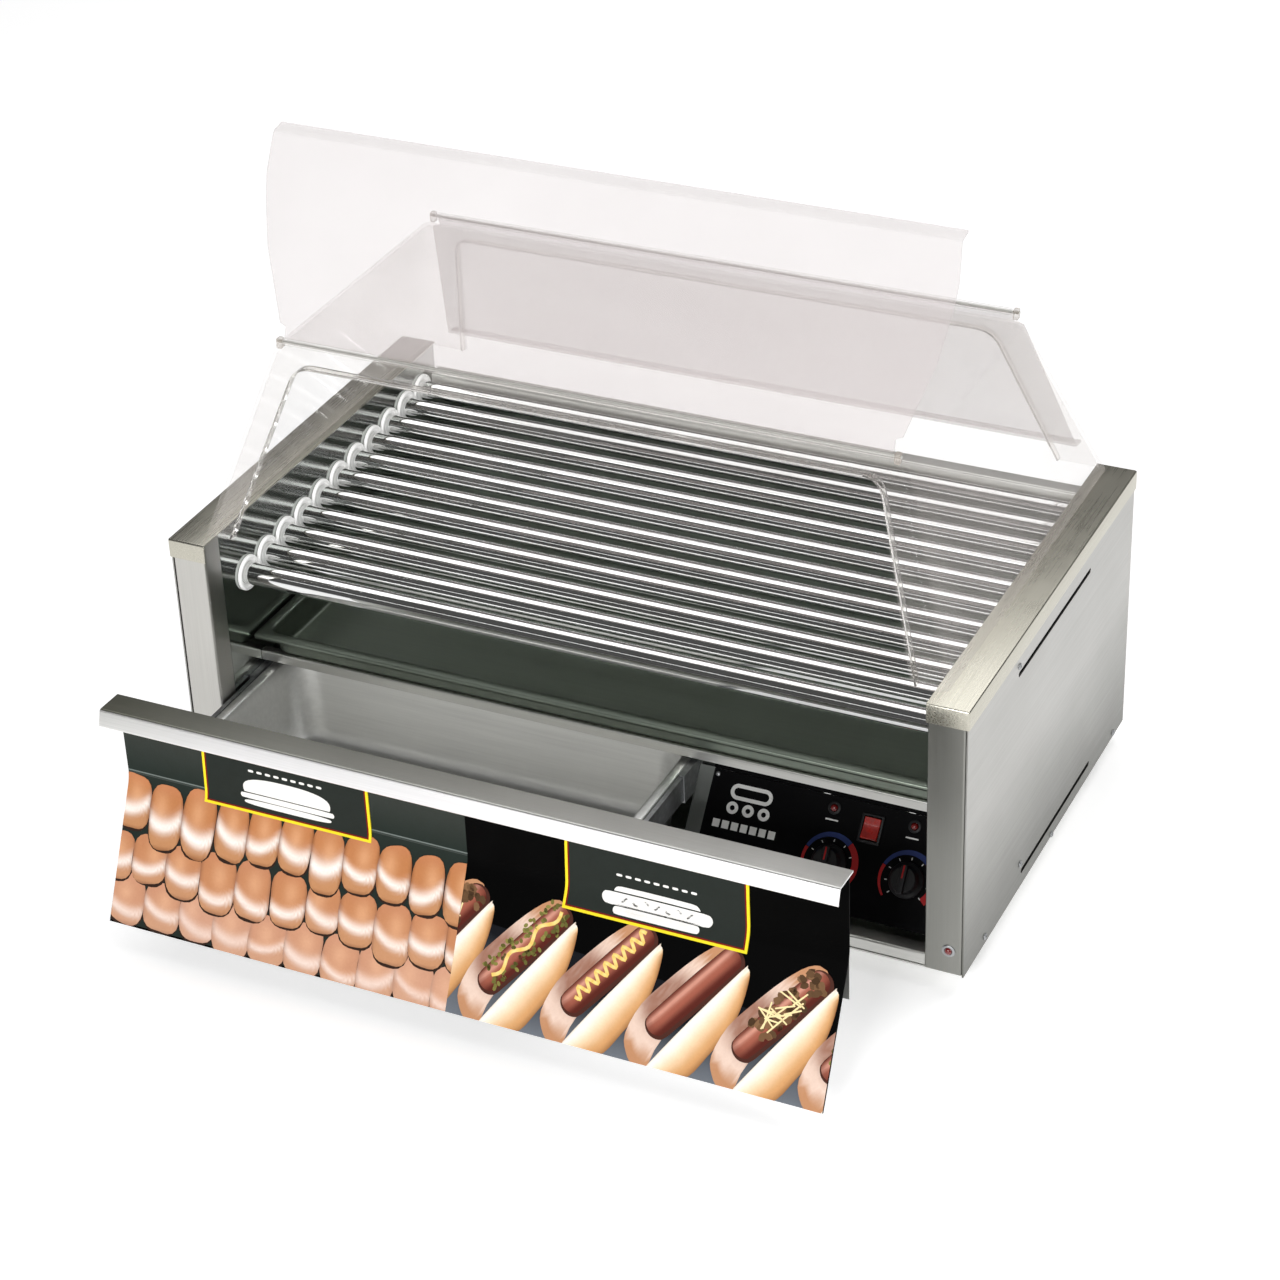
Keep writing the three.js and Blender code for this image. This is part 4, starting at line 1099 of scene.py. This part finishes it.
class Print:
    """Thin closed patches painted on their corners, cut to a window and wrapped onto the front."""

    def __init__(self, x0, x1):
        self.window = (x0, x1, PRINT_TOP, PRINT_FOOT)
        self.work = bmesh.new()
        self.paint = self.work.loops.layers.float_color.new("paint")
        self.level = 0

    def patch(self, outline, colour, rings=6, step=1):
        """outline: (x, down) points round the patch; colour(x, down, s) with s from 0, middle, to 1, edge."""
        self.level += step
        low, high = LAYER_BACK, LAYER_FACE + self.level * LAYER_STEP
        middle = Vector((sum(p[0] for p in outline), sum(p[1] for p in outline))) / len(outline)
        piece = bmesh.new()
        paint = piece.loops.layers.float_color.new("paint")
        centre_top = piece.verts.new((middle.x, middle.y, high))
        rows = []
        for k in range(1, rings + 1):
            s = k / rings
            rows.append([piece.verts.new((*(middle.lerp(Vector(p), s)), high)) for p in outline])
        bottom = [piece.verts.new((p[0], p[1], low)) for p in outline]
        count = len(outline)
        for i in range(count):
            j = (i + 1) % count
            piece.faces.new((centre_top, rows[0][i], rows[0][j]))
            for a, b in zip(rows, rows[1:]):
                piece.faces.new((a[i], b[i], b[j], a[j]))
            piece.faces.new((rows[-1][i], bottom[i], bottom[j], rows[-1][j]))
        piece.faces.new(list(reversed(bottom)))
        bmesh.ops.recalc_face_normals(piece, faces=piece.faces)
        x0, x1, y0, y1 = self.window
        left, right, up, down = (-1, 0, 0), (1, 0, 0), (0, -1, 0), (0, 1, 0)
        for point, way in (((x0, 0, 0), left), ((x1, 0, 0), right), ((0, y0, 0), up), ((0, y1, 0), down)):
            edges = divide(piece, point, way, True)
            if edges:
                bmesh.ops.holes_fill(piece, edges=edges)
        depths = [p[1] for p in outline]
        for place in BEND_LINES:
            if min(depths) < place < max(depths):
                divide(piece, (0, place, 0), down, False)
        lengths = [(Vector(p) - middle).length for p in outline]
        reach = sum(lengths) / len(lengths)
        for face in piece.faces:
            for loop in face.loops:
                x, y, _ = loop.vert.co
                s = min((Vector((x, y)) - middle).length / reach, 1.0)
                loop[paint] = (*colour(x, y, s), 1.0)
        holder = settled("patch", piece)
        self.work.from_mesh(holder)
        bpy.data.meshes.remove(holder)

    def mesh(self, name):
        for v in self.work.verts:
            v.co = on_front(v.co.x, v.co.y, v.co.z)
        bmesh.ops.reverse_faces(self.work, faces=self.work.faces)
        return settled(name, self.work)


def mixed(a, b, t):
    t = min(max(t, 0.0), 1.0)
    return tuple(p + (q - p) * t for p, q in zip(a, b))


def smooth(low, high, value):
    t = min(max((value - low) / (high - low), 0.0), 1.0)
    return t * t * (3 - 2 * t)


def turned(cx, cy, u, v, turn):
    """A point (u, v) of a shape turned about its own middle and set at (cx, cy)."""
    c, s = math.cos(turn), math.sin(turn)
    return cx + u * c - v * s, cy + u * s + v * c


def loop_outline(cx, cy, half_x, half_y, power=3.0, count=30, turn=0.0, wobble=0.0, seed=0):
    """A rounded-square outline; power 2 is an ellipse, higher is squarer."""
    chance = random.Random(seed)
    phases = [chance.uniform(0, 2 * math.pi) for _ in range(3)]
    points = []
    for i in range(count):
        a = 2 * math.pi * i / count
        c, s = math.cos(a), math.sin(a)
        r = (abs(c) ** power + abs(s) ** power) ** (-1 / power)
        r *= 1 + wobble * sum(math.sin((k + 2) * a + p) for k, p in enumerate(phases)) / 3
        points.append(turned(cx, cy, half_x * r * c, half_y * r * s, turn))
    return points


CRUST_TOP = (0.52, 0.21, 0.095)
CRUST = (0.52, 0.215, 0.085)
CRUST_LIGHT = (0.74, 0.39, 0.205)
CRUST_FOOT = (0.54, 0.265, 0.125)
CRUST_DARK = (0.20, 0.065, 0.025)
TORN = (1.0, 0.95, 0.91)
PALE_BUN = (0.72, 0.465, 0.375)
BUN_SHADOW = (0.035, 0.02, 0.015)
BUN_ROWS = (
    {"down": 226, "tall": 29, "half": 21.5, "start": -388, "pale": 0.42},
    {"down": 179, "tall": 29, "half": 20.5, "start": -407, "pale": 0.10},
    {"down": 124, "tall": 33, "half": 19.4, "start": -394, "pale": 0.0},
)


def bun(sheet, cx, cy, half_x, half_y, seed, pale):
    """One bun seen from its end: brown crust, a torn white band that dips in the middle, a brown foot."""
    chance = random.Random(seed)
    level = chance.uniform(0.30, 0.60)
    lean = chance.uniform(-0.26, 0.26)
    shine_x = chance.uniform(-0.35, 0.25)
    warmth = chance.uniform(-0.15, 0.15)
    band_width = chance.uniform(0.11, 0.20)
    strength = chance.uniform(0.86, 1.0) * (1 - 0.6 * pale)

    def colour(x, y, s):
        u, v = (x - cx) / half_x, (y - cy) / half_y
        painted = mixed(CRUST_TOP, CRUST, smooth(-1.0, -0.4, v) + warmth)
        shine = math.exp(-(((u - shine_x) / 0.42) ** 2) - ((v + 0.25) / 0.45) ** 2)
        painted = mixed(painted, CRUST_LIGHT, 0.75 * shine)
        edge = level - 0.28 * u * u + lean * u
        painted = mixed(painted, CRUST_LIGHT, 0.8 * smooth(edge - 0.42, edge - 0.05, v))
        painted = mixed(painted, CRUST_FOOT, smooth(edge, edge + 0.10, v))
        above, below = (v - edge) / (band_width * 1.5), (v - edge) / band_width
        painted = mixed(painted, TORN, strength * math.exp(-((above if v < edge else below) ** 2)))
        painted = mixed(painted, CRUST_DARK, 0.85 * smooth(0.68, 1.06, abs(u)) ** 2 * (1 - 0.4 * pale))
        painted = mixed(painted, CRUST_DARK, 0.75 * smooth(0.84, 1.06, v))
        return mixed(painted, PALE_BUN, pale)

    shadow = loop_outline(cx + 0.6, cy + 2.0, half_x + 0.5, half_y + 0.3, 3.0, 24)
    sheet.patch(shadow, flat_colour(BUN_SHADOW), 1)
    sheet.patch(loop_outline(cx, cy, half_x, half_y, 3.0, 28, 0, 0.06, seed), colour, 8)


def bun_rows(sheet):
    """Three rows of buns, the top row longest; each row is painted over the one below it."""
    chance = random.Random(7)
    for number, row in enumerate(BUN_ROWS):
        x = row["start"]
        i = 0
        while x < 16:
            lift = chance.uniform(-2.5, 2.5) + 0.02 * (x + 400)
            tall = row["tall"] * chance.uniform(0.90, 1.14)
            lift += tall - row["tall"]
            wide = row["half"] * chance.uniform(0.98, 1.07)
            pale = row["pale"] * chance.uniform(0.7, 1.2)
            bun(sheet, x, row["down"] + lift, wide, tall, 100 * number + i, pale)
            x += 2 * row["half"] * chance.uniform(0.97, 1.05)
            i += 1


def flat_colour(value):
    return lambda x, y, s: value


def capsule(cx, cy, length, half_width, turn, count=34):
    """A long rounded outline about a slanted line."""
    points = []
    for i in range(count):
        a = 2 * math.pi * i / count
        c, s = math.cos(a), math.sin(a)
        u = (length / 2 - half_width) * (1 if c > 0 else -1) * min(abs(c) * 3, 1) + half_width * c
        points.append(turned(cx, cy, u, half_width * s, turn))
    return points


FAR_HALF = [(-108, 18), (-105, 3), (-92, -13), (-56, -25), (-16, -26), (27, -24), (58, -18), (70, -7)]
FAR_HALF += [(58, 6), (-56, 16), (-100, 30)]
NEAR_TOP = ((-101, 31), (-94, 28), (-22, 22), (60, 18), (66, 20))
NEAR_FOOT = ((-98, 44), (-86, 58), (-63, 66), (-33, 63), (8, 57), (38, 44), (62, 28))
DOG_TURN = math.radians(-51)
DOG_SIZE = 0.92
SAUSAGE_DARK = (0.10, 0.02, 0.014)
MUSTARD, MUSTARD_CREST = (0.86, 0.58, 0.14), (0.98, 0.88, 0.42)
CHEESE = (0.93, 0.78, 0.42)
RELISH, CHILLI = (0.20, 0.19, 0.05), (0.22, 0.12, 0.06)

# Loose bits go round a few heights in turn instead of each standing on the last.
SCATTER = (1, 1, 1, 1, 1, -5)


def at_along(line, u):
    """The height of a bent line over u."""
    for (u0, v0), (u1, v1) in zip(line, line[1:]):
        if u <= u1:
            return v0 + (v1 - v0) * max(u - u0, 0) / (u1 - u0)
    return line[-1][1]


def closed_curve(points, steps=4):
    """A smooth closed line through the points."""
    count = len(points)
    line = []
    for i in range(count):
        a, b, c, d = (Vector(points[(i + k) % count]) for k in (-1, 0, 1, 2))
        for k in range(steps):
            t = k / steps
            bend = 2 * b + (c - a) * t + (2 * a - 5 * b + 4 * c - d) * t**2 + (3 * b - a - 3 * c + d) * t**3
            line.append(tuple(bend / 2))
    return line


def hot_dog(sheet, cx, cy, kind, seed):
    """A hot dog in its bun on the slant: far half, sausage, topping, near half."""
    ca, sa = math.cos(DOG_TURN), math.sin(DOG_TURN)
    chance = random.Random(seed)

    def spot(u, v):
        return cx + DOG_SIZE * (u * ca - v * sa), cy + DOG_SIZE * (u * sa + v * ca)

    def local(x, y):
        dx, dy = (x - cx) / DOG_SIZE, (y - cy) / DOG_SIZE
        return dx * ca + dy * sa, -dx * sa + dy * ca

    def far_half(x, y, s):
        u, v = local(x, y)
        inside = mixed((0.34, 0.17, 0.12), (0.80, 0.61, 0.51), smooth(0.35, 0.75, s))
        crumb = 0.12 * math.sin(0.9 * u + 3 * math.sin(0.5 * v + seed))
        inside = mixed(inside, (0.96, 0.82, 0.72), max(crumb, 0))
        return mixed(inside, (0.50, 0.23, 0.10), 0.9 * smooth(0.88, 0.99, s))

    def near_half(x, y, s):
        u, v = local(x, y)
        top, foot = at_along(NEAR_TOP, u), at_along(NEAR_FOOT, u)
        t = (v - top) / max(foot - top, 10)
        cream = mixed((0.99, 0.95, 0.88), (0.92, 0.70, 0.46), smooth(0.08, 0.50, t))
        cream = mixed(cream, (0.68, 0.36, 0.15), smooth(0.36, 0.84, t))
        cream = mixed(cream, (0.26, 0.11, 0.04), 0.85 * smooth(0.82, 1.05, t))
        return mixed(cream, (0.62, 0.44, 0.30), 0.5 * smooth(0.05, -0.02, t))

    def sausage(x, y, s):
        u, v = local(x, y)
        lit = mixed((0.36, 0.11, 0.072), (0.66, 0.32, 0.24), math.exp(-(((v + 5) / 3.2) ** 2)))
        dark = mixed(lit, SAUSAGE_DARK, smooth(3, 12.5, abs(v + 1)))
        return mixed(dark, SAUSAGE_DARK, 0.6 * smooth(52, 72, abs(u)))

    def bits(count, place, shades, tint, shape, wobble=0.0):
        """Loose bits of a topping; place draws where each one lies."""
        for i in range(count):
            where = spot(*place())
            shade = chance.uniform(*shades)
            bit = loop_outline(*where, *shape, chance.uniform(0, 3), wobble, i)
            colour = flat_colour(tuple(c * shade for c in tint))
            sheet.patch(bit, colour, 1, SCATTER[i % len(SCATTER)])

    sheet.patch([spot(u, v) for u, v in closed_curve(FAR_HALF, 3)], far_half, 8)
    shadow = capsule(*spot(0, 4), 142 * DOG_SIZE, 16 * DOG_SIZE, DOG_TURN, 30)
    sheet.patch(shadow, flat_colour((0.07, 0.025, 0.018)), 1)
    sheet.patch(capsule(*spot(0, 2), 136 * DOG_SIZE, 13.5 * DOG_SIZE, DOG_TURN, 34), sausage, 7)
    if kind == "relish":
        beside = lambda: (chance.uniform(-58, 66), chance.choice((-1, 1)) * chance.uniform(5, 16))
        bits(90, beside, (0.4, 1.3), RELISH, (2.8, 2.0, 2, 7))
    if kind == "chilli":
        over = lambda: (chance.uniform(-34, 60), chance.uniform(-13, 13))
        bits(70, over, (0.3, 1.1), CHILLI, (4.6, 3.6, 2, 8), 0.2)
        sheet.level += len(SCATTER)
        for i in range(16):
            middle, angle = spot(chance.uniform(-16, 30), chance.uniform(-8, 8)), chance.uniform(-1.6, 0.8)
            strand = capsule(*middle, chance.uniform(16, 30), 0.9, angle, 12)
            sheet.patch(strand, flat_colour(CHEESE), 1, SCATTER[i % len(SCATTER)])
    sheet.level += len(SCATTER)
    if kind in ("relish", "mustard"):
        waves, swing = (8, 6.0) if kind == "mustard" else (2.5, 4.5)
        squiggle(sheet, spot, -50, 62, waves, swing, 1.9, MUSTARD, MUSTARD_CREST)
    whole = list(NEAR_TOP) + list(reversed(NEAR_FOOT))
    sheet.patch([spot(u, v) for u, v in closed_curve(whole, 3)], near_half, 8)


def squiggle(sheet, spot, start, end, waves, swing, width, tint, crest):
    """A piped line of sauce along the sausage, made of short overlapping strokes."""
    steps = int(waves * 9)
    points = []
    for i in range(steps + 1):
        t = i / steps
        points.append(Vector(spot(start + (end - start) * t, swing * math.sin(2 * math.pi * waves * t))))
    left, right = both_sides(points, 2 * width)
    for i in range(0, steps, 3):
        stretch = slice(i, min(i + 4, steps + 1))
        ends = [tuple(p) for p in left[stretch]] + [tuple(p) for p in reversed(right[stretch])]
        sheet.patch(ends, lambda x, y, s: mixed(tint, crest, 0.6 * (1 - s)), 1, 1 if i % 2 else -1)


DOG_START, DOG_STEP, DOG_DOWN = -24, 92.5, 167
SPLIT = -5
SHELF_LOW, SHELF_HIGH = (0.020, 0.028, 0.024), (0.045, 0.05, 0.045)
CLOTH_FAR, CLOTH_NEAR = (0.008, 0.009, 0.012), (0.16, 0.18, 0.21)
SIGN_YELLOW, SIGN_RED = (0.88, 0.74, 0.03), (0.20, 0.01, 0.01)
SIGN_DARK, SIGN_WHITE = (0.022, 0.027, 0.024), (0.86, 0.86, 0.84)


def band_outline(x0, x1, y0, y1):
    return [(x0, y0), (x1, y0), (x1, y1), (x0, y1)]


def picture():
    """Left: a shelf of buns on green-black. Right: hot dogs on black. Signs hang over both."""
    buns = Print(-PRINT_HALF, SPLIT)
    backdrop = band_outline(-PRINT_HALF, SPLIT, PRINT_TOP, PRINT_FOOT - 2)
    buns.patch(backdrop, lambda x, y, s: mixed(SHELF_LOW, SHELF_HIGH, smooth(60, PRINT_TOP, y)), 1)
    for y, tint in ((86, (0.16, 0.19, 0.18)), (88.2, (0.05, 0.06, 0.055))):
        buns.patch(band_outline(-PRINT_HALF, SPLIT, y, y + 1.6), flat_colour(tint), 1)
    bun_rows(buns)
    make("picture_of_buns", buns.mesh("buns"), "drawer", PRINT, smooth=60)
    dogs = Print(SPLIT, PRINT_HALF)
    cloth = [(SPLIT, 150), (PRINT_HALF, 176), (PRINT_HALF, PRINT_FOOT), (SPLIT, PRINT_FOOT)]
    dogs.patch(cloth, lambda x, y, s: mixed(CLOTH_FAR, CLOTH_NEAR, smooth(205, PRINT_FOOT, y)), 2)
    kinds = ("chilli", "relish", "mustard", "plain", "chilli", "relish")
    for i, kind in enumerate(kinds):
        hot_dog(dogs, DOG_START + DOG_STEP * i, DOG_DOWN, kind, 40 + i)
    make("picture_of_hot_dogs", dogs.mesh("dogs"), "drawer", PRINT, smooth=60)


def bun_symbol(face, cx, cy, wide, white, dark):
    """A sliced bun: domed top, a dark gap, filling and a flat foot."""
    face.patch(loop_outline(cx, cy - 4, wide, 15, 2.6, 40), white, 1)
    face.patch(band_outline(cx - wide - 6, cx + wide + 6, cy + 1, cy + 14), dark, 1)
    face.patch(capsule(cx, cy + 5.5, 2.15 * wide, 3.4, 0, 24), white, 1)
    face.patch(loop_outline(cx, cy + 13, wide, 3.4, 3.2, 30), white, 1)


def hot_dog_symbol(face, cx, cy, wide, white, dark):
    """A hot dog from its side: bun, sausage longer than the bun, a wave of sauce."""
    face.patch(capsule(cx, cy - 4, 1.8 * wide, 9, 0, 30), white, 1)
    face.patch(capsule(cx, cy + 3, 2.4 * wide, 9.4, 0, 30), dark, 1)
    face.patch(capsule(cx, cy + 3, 2.3 * wide, 7.6, 0, 30), white, 1)
    spot = lambda u, v: (cx + u, cy + 3 + v)
    ink = (0.02, 0.024, 0.022)
    squiggle(face, spot, -wide * 0.85, wide * 0.85, 5, 3.4, 1.0, ink, ink)
    face.patch(capsule(cx, cy + 14, 1.9 * wide, 5.6, 0, 30), dark, 1)
    face.patch(capsule(cx, cy + 15, 1.8 * wide, 4.4, 0, 30), white, 1)


def sign(name, x0, x1, foot, symbol):
    """A hanging sign: yellow border, thin red inner line, dark face, a row of dashes and a symbol."""
    face = Print(-PRINT_HALF, PRINT_HALF)
    face.level = SIGN_LEVEL
    lean = 2.5
    for inset, tint in ((0, SIGN_YELLOW), (3.0, SIGN_RED), (4.6, SIGN_DARK)):
        upper = [(x0 + inset + lean, PRINT_TOP), (x1 - inset - lean * 0.2, PRINT_TOP)]
        lower = [(x1 - inset, foot - inset), (x0 + inset, foot - inset)]
        face.patch(upper + lower, flat_colour(tint), 1)
    cx, cy = (x0 + x1) / 2 + 1, foot - 26
    white = flat_colour(SIGN_WHITE)
    symbol(face, cx, cy, (x1 - x0) * 0.26, white, flat_colour(SIGN_DARK))
    for i in range(9):
        face.patch(capsule(cx + (i - 4) * 10, foot - 52, 6.4, 1.5, 0, 12), white, 1)
    make(name, face.mesh(name), "drawer", PRINT, smooth=60)


handle()
drawer_front()
picture()
sign("bun_sign", -311, -114, 102, bun_symbol)
sign("hot_dog_sign", 104, 303, 118, hot_dog_symbol)

# ---------------------------------------------------------------- hood and doors

HOOD_FOOT_X, HOOD_ROOF_X = 422, 354
HOOD_FRONT = (22, 91)
HOOD_BACK = (517, 424)
HOOD_BASE = TOP + GAP
FRONT_ROD_Y, REAR_ROD_Y = HOOD_FRONT[1] - 2, HOOD_BACK[1] + 2
EAR_X = (341, 347)
CURL_HALF = 339
ROD_HALF = 348
OPENING_TOP = HOOD_ROOF - 22
FRONT_OPENING, REAR_OPENING = (388, 326), (366, 317)
OPENING_RADIUS = 24
DOOR_LENGTH = 213


def tapered_block(name, wall, top_drop, base_drop, radius):
    """The hood's outline drawn in by a wall, its slanted and roof edges rounded."""
    work = bmesh.new()
    bmesh.ops.create_cube(work, size=1)
    for v in work.verts:
        upper = v.co.z > 0
        half = (HOOD_ROOF_X if upper else HOOD_FOOT_X) - wall
        front = HOOD_FRONT[1 if upper else 0] + wall
        back = HOOD_BACK[1 if upper else 0] - wall
        z = HOOD_ROOF - top_drop if upper else HOOD_BASE - base_drop
        v.co = Vector((half if v.co.x > 0 else -half, back if v.co.y > 0 else front, z))
    low = HOOD_BASE - base_drop
    edges = [e for e in work.edges if not all(abs(v.co.z - low) < 0.01 for v in e.verts)]
    bevelled(work, edges, radius, 6)
    for v in work.verts:
        v.co = at(*v.co)
    return settled(name, work)


def arch(halves, base):
    """An opening's outline: up one leg, over the top and down the other, its upper corners rounded."""
    half_low, half_high = halves
    corner = filleted([(half_low, base), (half_high, OPENING_TOP), (0, OPENING_TOP)], OPENING_RADIUS, 8)
    right = [(p.x, p.y) for p in corner]
    return right + [(-x, z) for x, z in reversed(right[:-1])]


def opening(halves, y0, y1):
    """A prism through the hood's front or back."""
    ring = arch(halves, HOOD_BASE - 10)
    verts = [at(x, y, z) for y in (y0, y1) for x, z in ring]
    count = len(ring)
    faces = [tuple(range(count)), tuple(range(2 * count - 1, count - 1, -1))]
    faces += [(i, (i + 1) % count, count + (i + 1) % count, count + i) for i in range(count)]
    return mesh_from("opening", verts, faces)


def hood_lip(name, halves, slope):
    """The flange turned in round an opening."""
    line = arch(halves, HOOD_BASE + 0.2)
    foot_y, roof_y = slope
    deep = 9 if roof_y > foot_y else -9
    thick = 2.4
    flat = [Vector(p) for p in line]
    inner, outer = both_sides(flat, 2 * thick)
    verts, count = [], len(line)
    for (x, z), (ix, iz) in zip(line, [tuple(p) for p in (outer if outer[0].x > flat[0].x else inner)]):
        for px, pz in ((x, z), (ix, iz)):
            t = (pz - HOOD_BASE) / (HOOD_ROOF - HOOD_BASE)
            y = foot_y + (roof_y - foot_y) * t
            verts += [at(px, y + (0.4 if deep > 0 else -0.4), pz), at(px, y + deep, pz)]
    faces = []
    for i in range(count - 1):
        a, b = 4 * i, 4 * (i + 1)
        for p, q in ((0, 1), (1, 3), (3, 2), (2, 0)):
            faces.append((a + p, a + q, b + q, b + p))
    last = 4 * (count - 1)
    faces += [(0, 2, 3, 1), (last, last + 1, last + 3, last + 2)]
    mesh = mesh_from(name, verts, faces)
    make(name, mesh, "cabinet", CLEAR_LIP, smooth=50, round_edges=0.4)


def hood():
    shell = boolean(tapered_block("hood", 0, 0, 0, 9), tapered_block("inside", 3.2, HOOD_SHEET, 5, 6))
    shell = boolean(shell, opening(FRONT_OPENING, 0, 200))
    shell = boolean(shell, opening(REAR_OPENING, 300, 530))
    near, far = EAR_X
    for name, y in (("front", FRONT_ROD_Y), ("rear", REAR_ROD_Y)):
        z = HOOD_ROOF + HINGE_RISE
        for side in (-1, 1):
            x0, x1 = sorted((side * near, side * far))
            ear = rounded_block("ear", (x0, y - 4, z - 7.5), (x1, y + 4, z + 4), 1.2, 3)
            hole = ROD_RADIUS + GAP
            profile = [(0, x0 - 5), (hole, x0 - 5), (hole, x1 + 5), (0, x1 + 5)]
            ear = boolean(ear, lathe("bore", profile, at(0, y, z), "x", 24))
            end = "left" if side < 0 else "right"
            make(f"{name}_hinge_ear_{end}", ear, "cabinet", CLEAR_EDGE)
    make("hood_shell", shell, "cabinet", CLEAR, ["hood"], round_edges=0.5)
    hood_lip("hood_front_lip", FRONT_OPENING, HOOD_FRONT)
    hood_lip("hood_rear_lip", REAR_OPENING, HOOD_BACK)


def door(name, axis_y, degrees, widths, lip_sign):
    """A door sheet: curl round its rod, flat panel and a lip bent along its free edge."""
    length = DOOR_LENGTH
    way = math.radians(-58 * lip_sign)
    bend = Vector((length, 0))
    tip = bend + Vector((17 * math.cos(way), 17 * math.sin(way)))
    flat = filleted([(12, 0), bend, tip], 5, 8)
    left, right = both_sides(flat, 3.0)
    half_at = [(0, CURL_HALF), (16, CURL_HALF), *widths]

    def half_width(u):
        for (u0, w0), (u1, w1) in zip(half_at, half_at[1:]):
            if u <= u1:
                return w0 + (w1 - w0) * (u - u0) / max(u1 - u0, 1e-6)
        return half_at[-1][1]

    stations = sorted({3.6, *(u for u, _ in half_at if u > 5), *(p.x for p in flat if p.x > 12)} - {tip.x})
    rows = []
    for u in [s for s in stations if s < length - 8]:
        rows.append(((u, 1.5), (u, -1.5), half_width(u)))
    for p, l, r in zip(flat, left, right):
        if p.x > length - 8 or (p - tip).length < 30:
            rows.append(((l.x, l.y), (r.x, r.y), half_width(min(p.x, length))))
    axis = Matrix.Translation(at(0, axis_y, HOOD_ROOF + HINGE_RISE))
    turn = axis @ Matrix.Rotation(math.radians(degrees), 4, "X")
    verts = []
    for (u1, v1), (u2, v2), half in rows:
        for u, v in ((u1, v1), (u2, v2)):
            verts += [Vector((-half, u, v)) * MM, Vector((half, u, v)) * MM]
    faces = []
    for i in range(len(rows) - 1):
        a, b = 4 * i, 4 * (i + 1)
        faces += [(a, a + 1, b + 1, b), (a + 2, b + 2, b + 3, a + 3)]
        faces += [(a, b, b + 2, a + 2), (a + 1, a + 3, b + 3, b + 1)]
    last = 4 * (len(rows) - 1)
    faces += [(0, 2, 3, 1), (last, last + 1, last + 3, last + 2)]
    panel = mesh_from("panel", verts, faces)
    end = CURL_HALF - 0.8
    ring = [(2, -CURL_HALF), (3.4, -CURL_HALF), (4, -end), (4, end), (3.4, CURL_HALF), (2, CURL_HALF)]
    roll = lathe("roll", ring, Vector((0, 0, 0)), "x", 40)
    panel.transform(turn)
    roll.transform(turn)
    make(f"{name}_sheet", panel, name, CLEAR_DOOR, [name], smooth=40, round_edges=0.5)
    make(f"{name}_curl", roll, name, CLEAR_CURL, smooth=40)


def rod(name, axis_y):
    r = ROD_RADIUS
    profile = [(0, -ROD_HALF), (r - 0.4, -ROD_HALF), (r, 0.4 - ROD_HALF)]
    profile += [(r, ROD_HALF - 0.4), (r - 0.4, ROD_HALF), (0, ROD_HALF)]
    mesh = lathe(name, profile, at(0, axis_y, HOOD_ROOF + HINGE_RISE), "x", 28)
    make(f"{name}_turned", mesh, "cabinet", SATIN_X, [name])


hood()
FRONT_WIDTHS = [(19, 346), (95, 370), (145, 378), (172, 380), (DOOR_LENGTH, 377)]
REAR_WIDTHS = [(19, 350), (DOOR_LENGTH, 386)]
door("front_door", FRONT_ROD_Y, 68.3, FRONT_WIDTHS, 1)
door("rear_door", REAR_ROD_Y, -65.4, REAR_WIDTHS, -1)
rod("front_hinge_rod", FRONT_ROD_Y)
rod("rear_hinge_rod", REAR_ROD_Y)
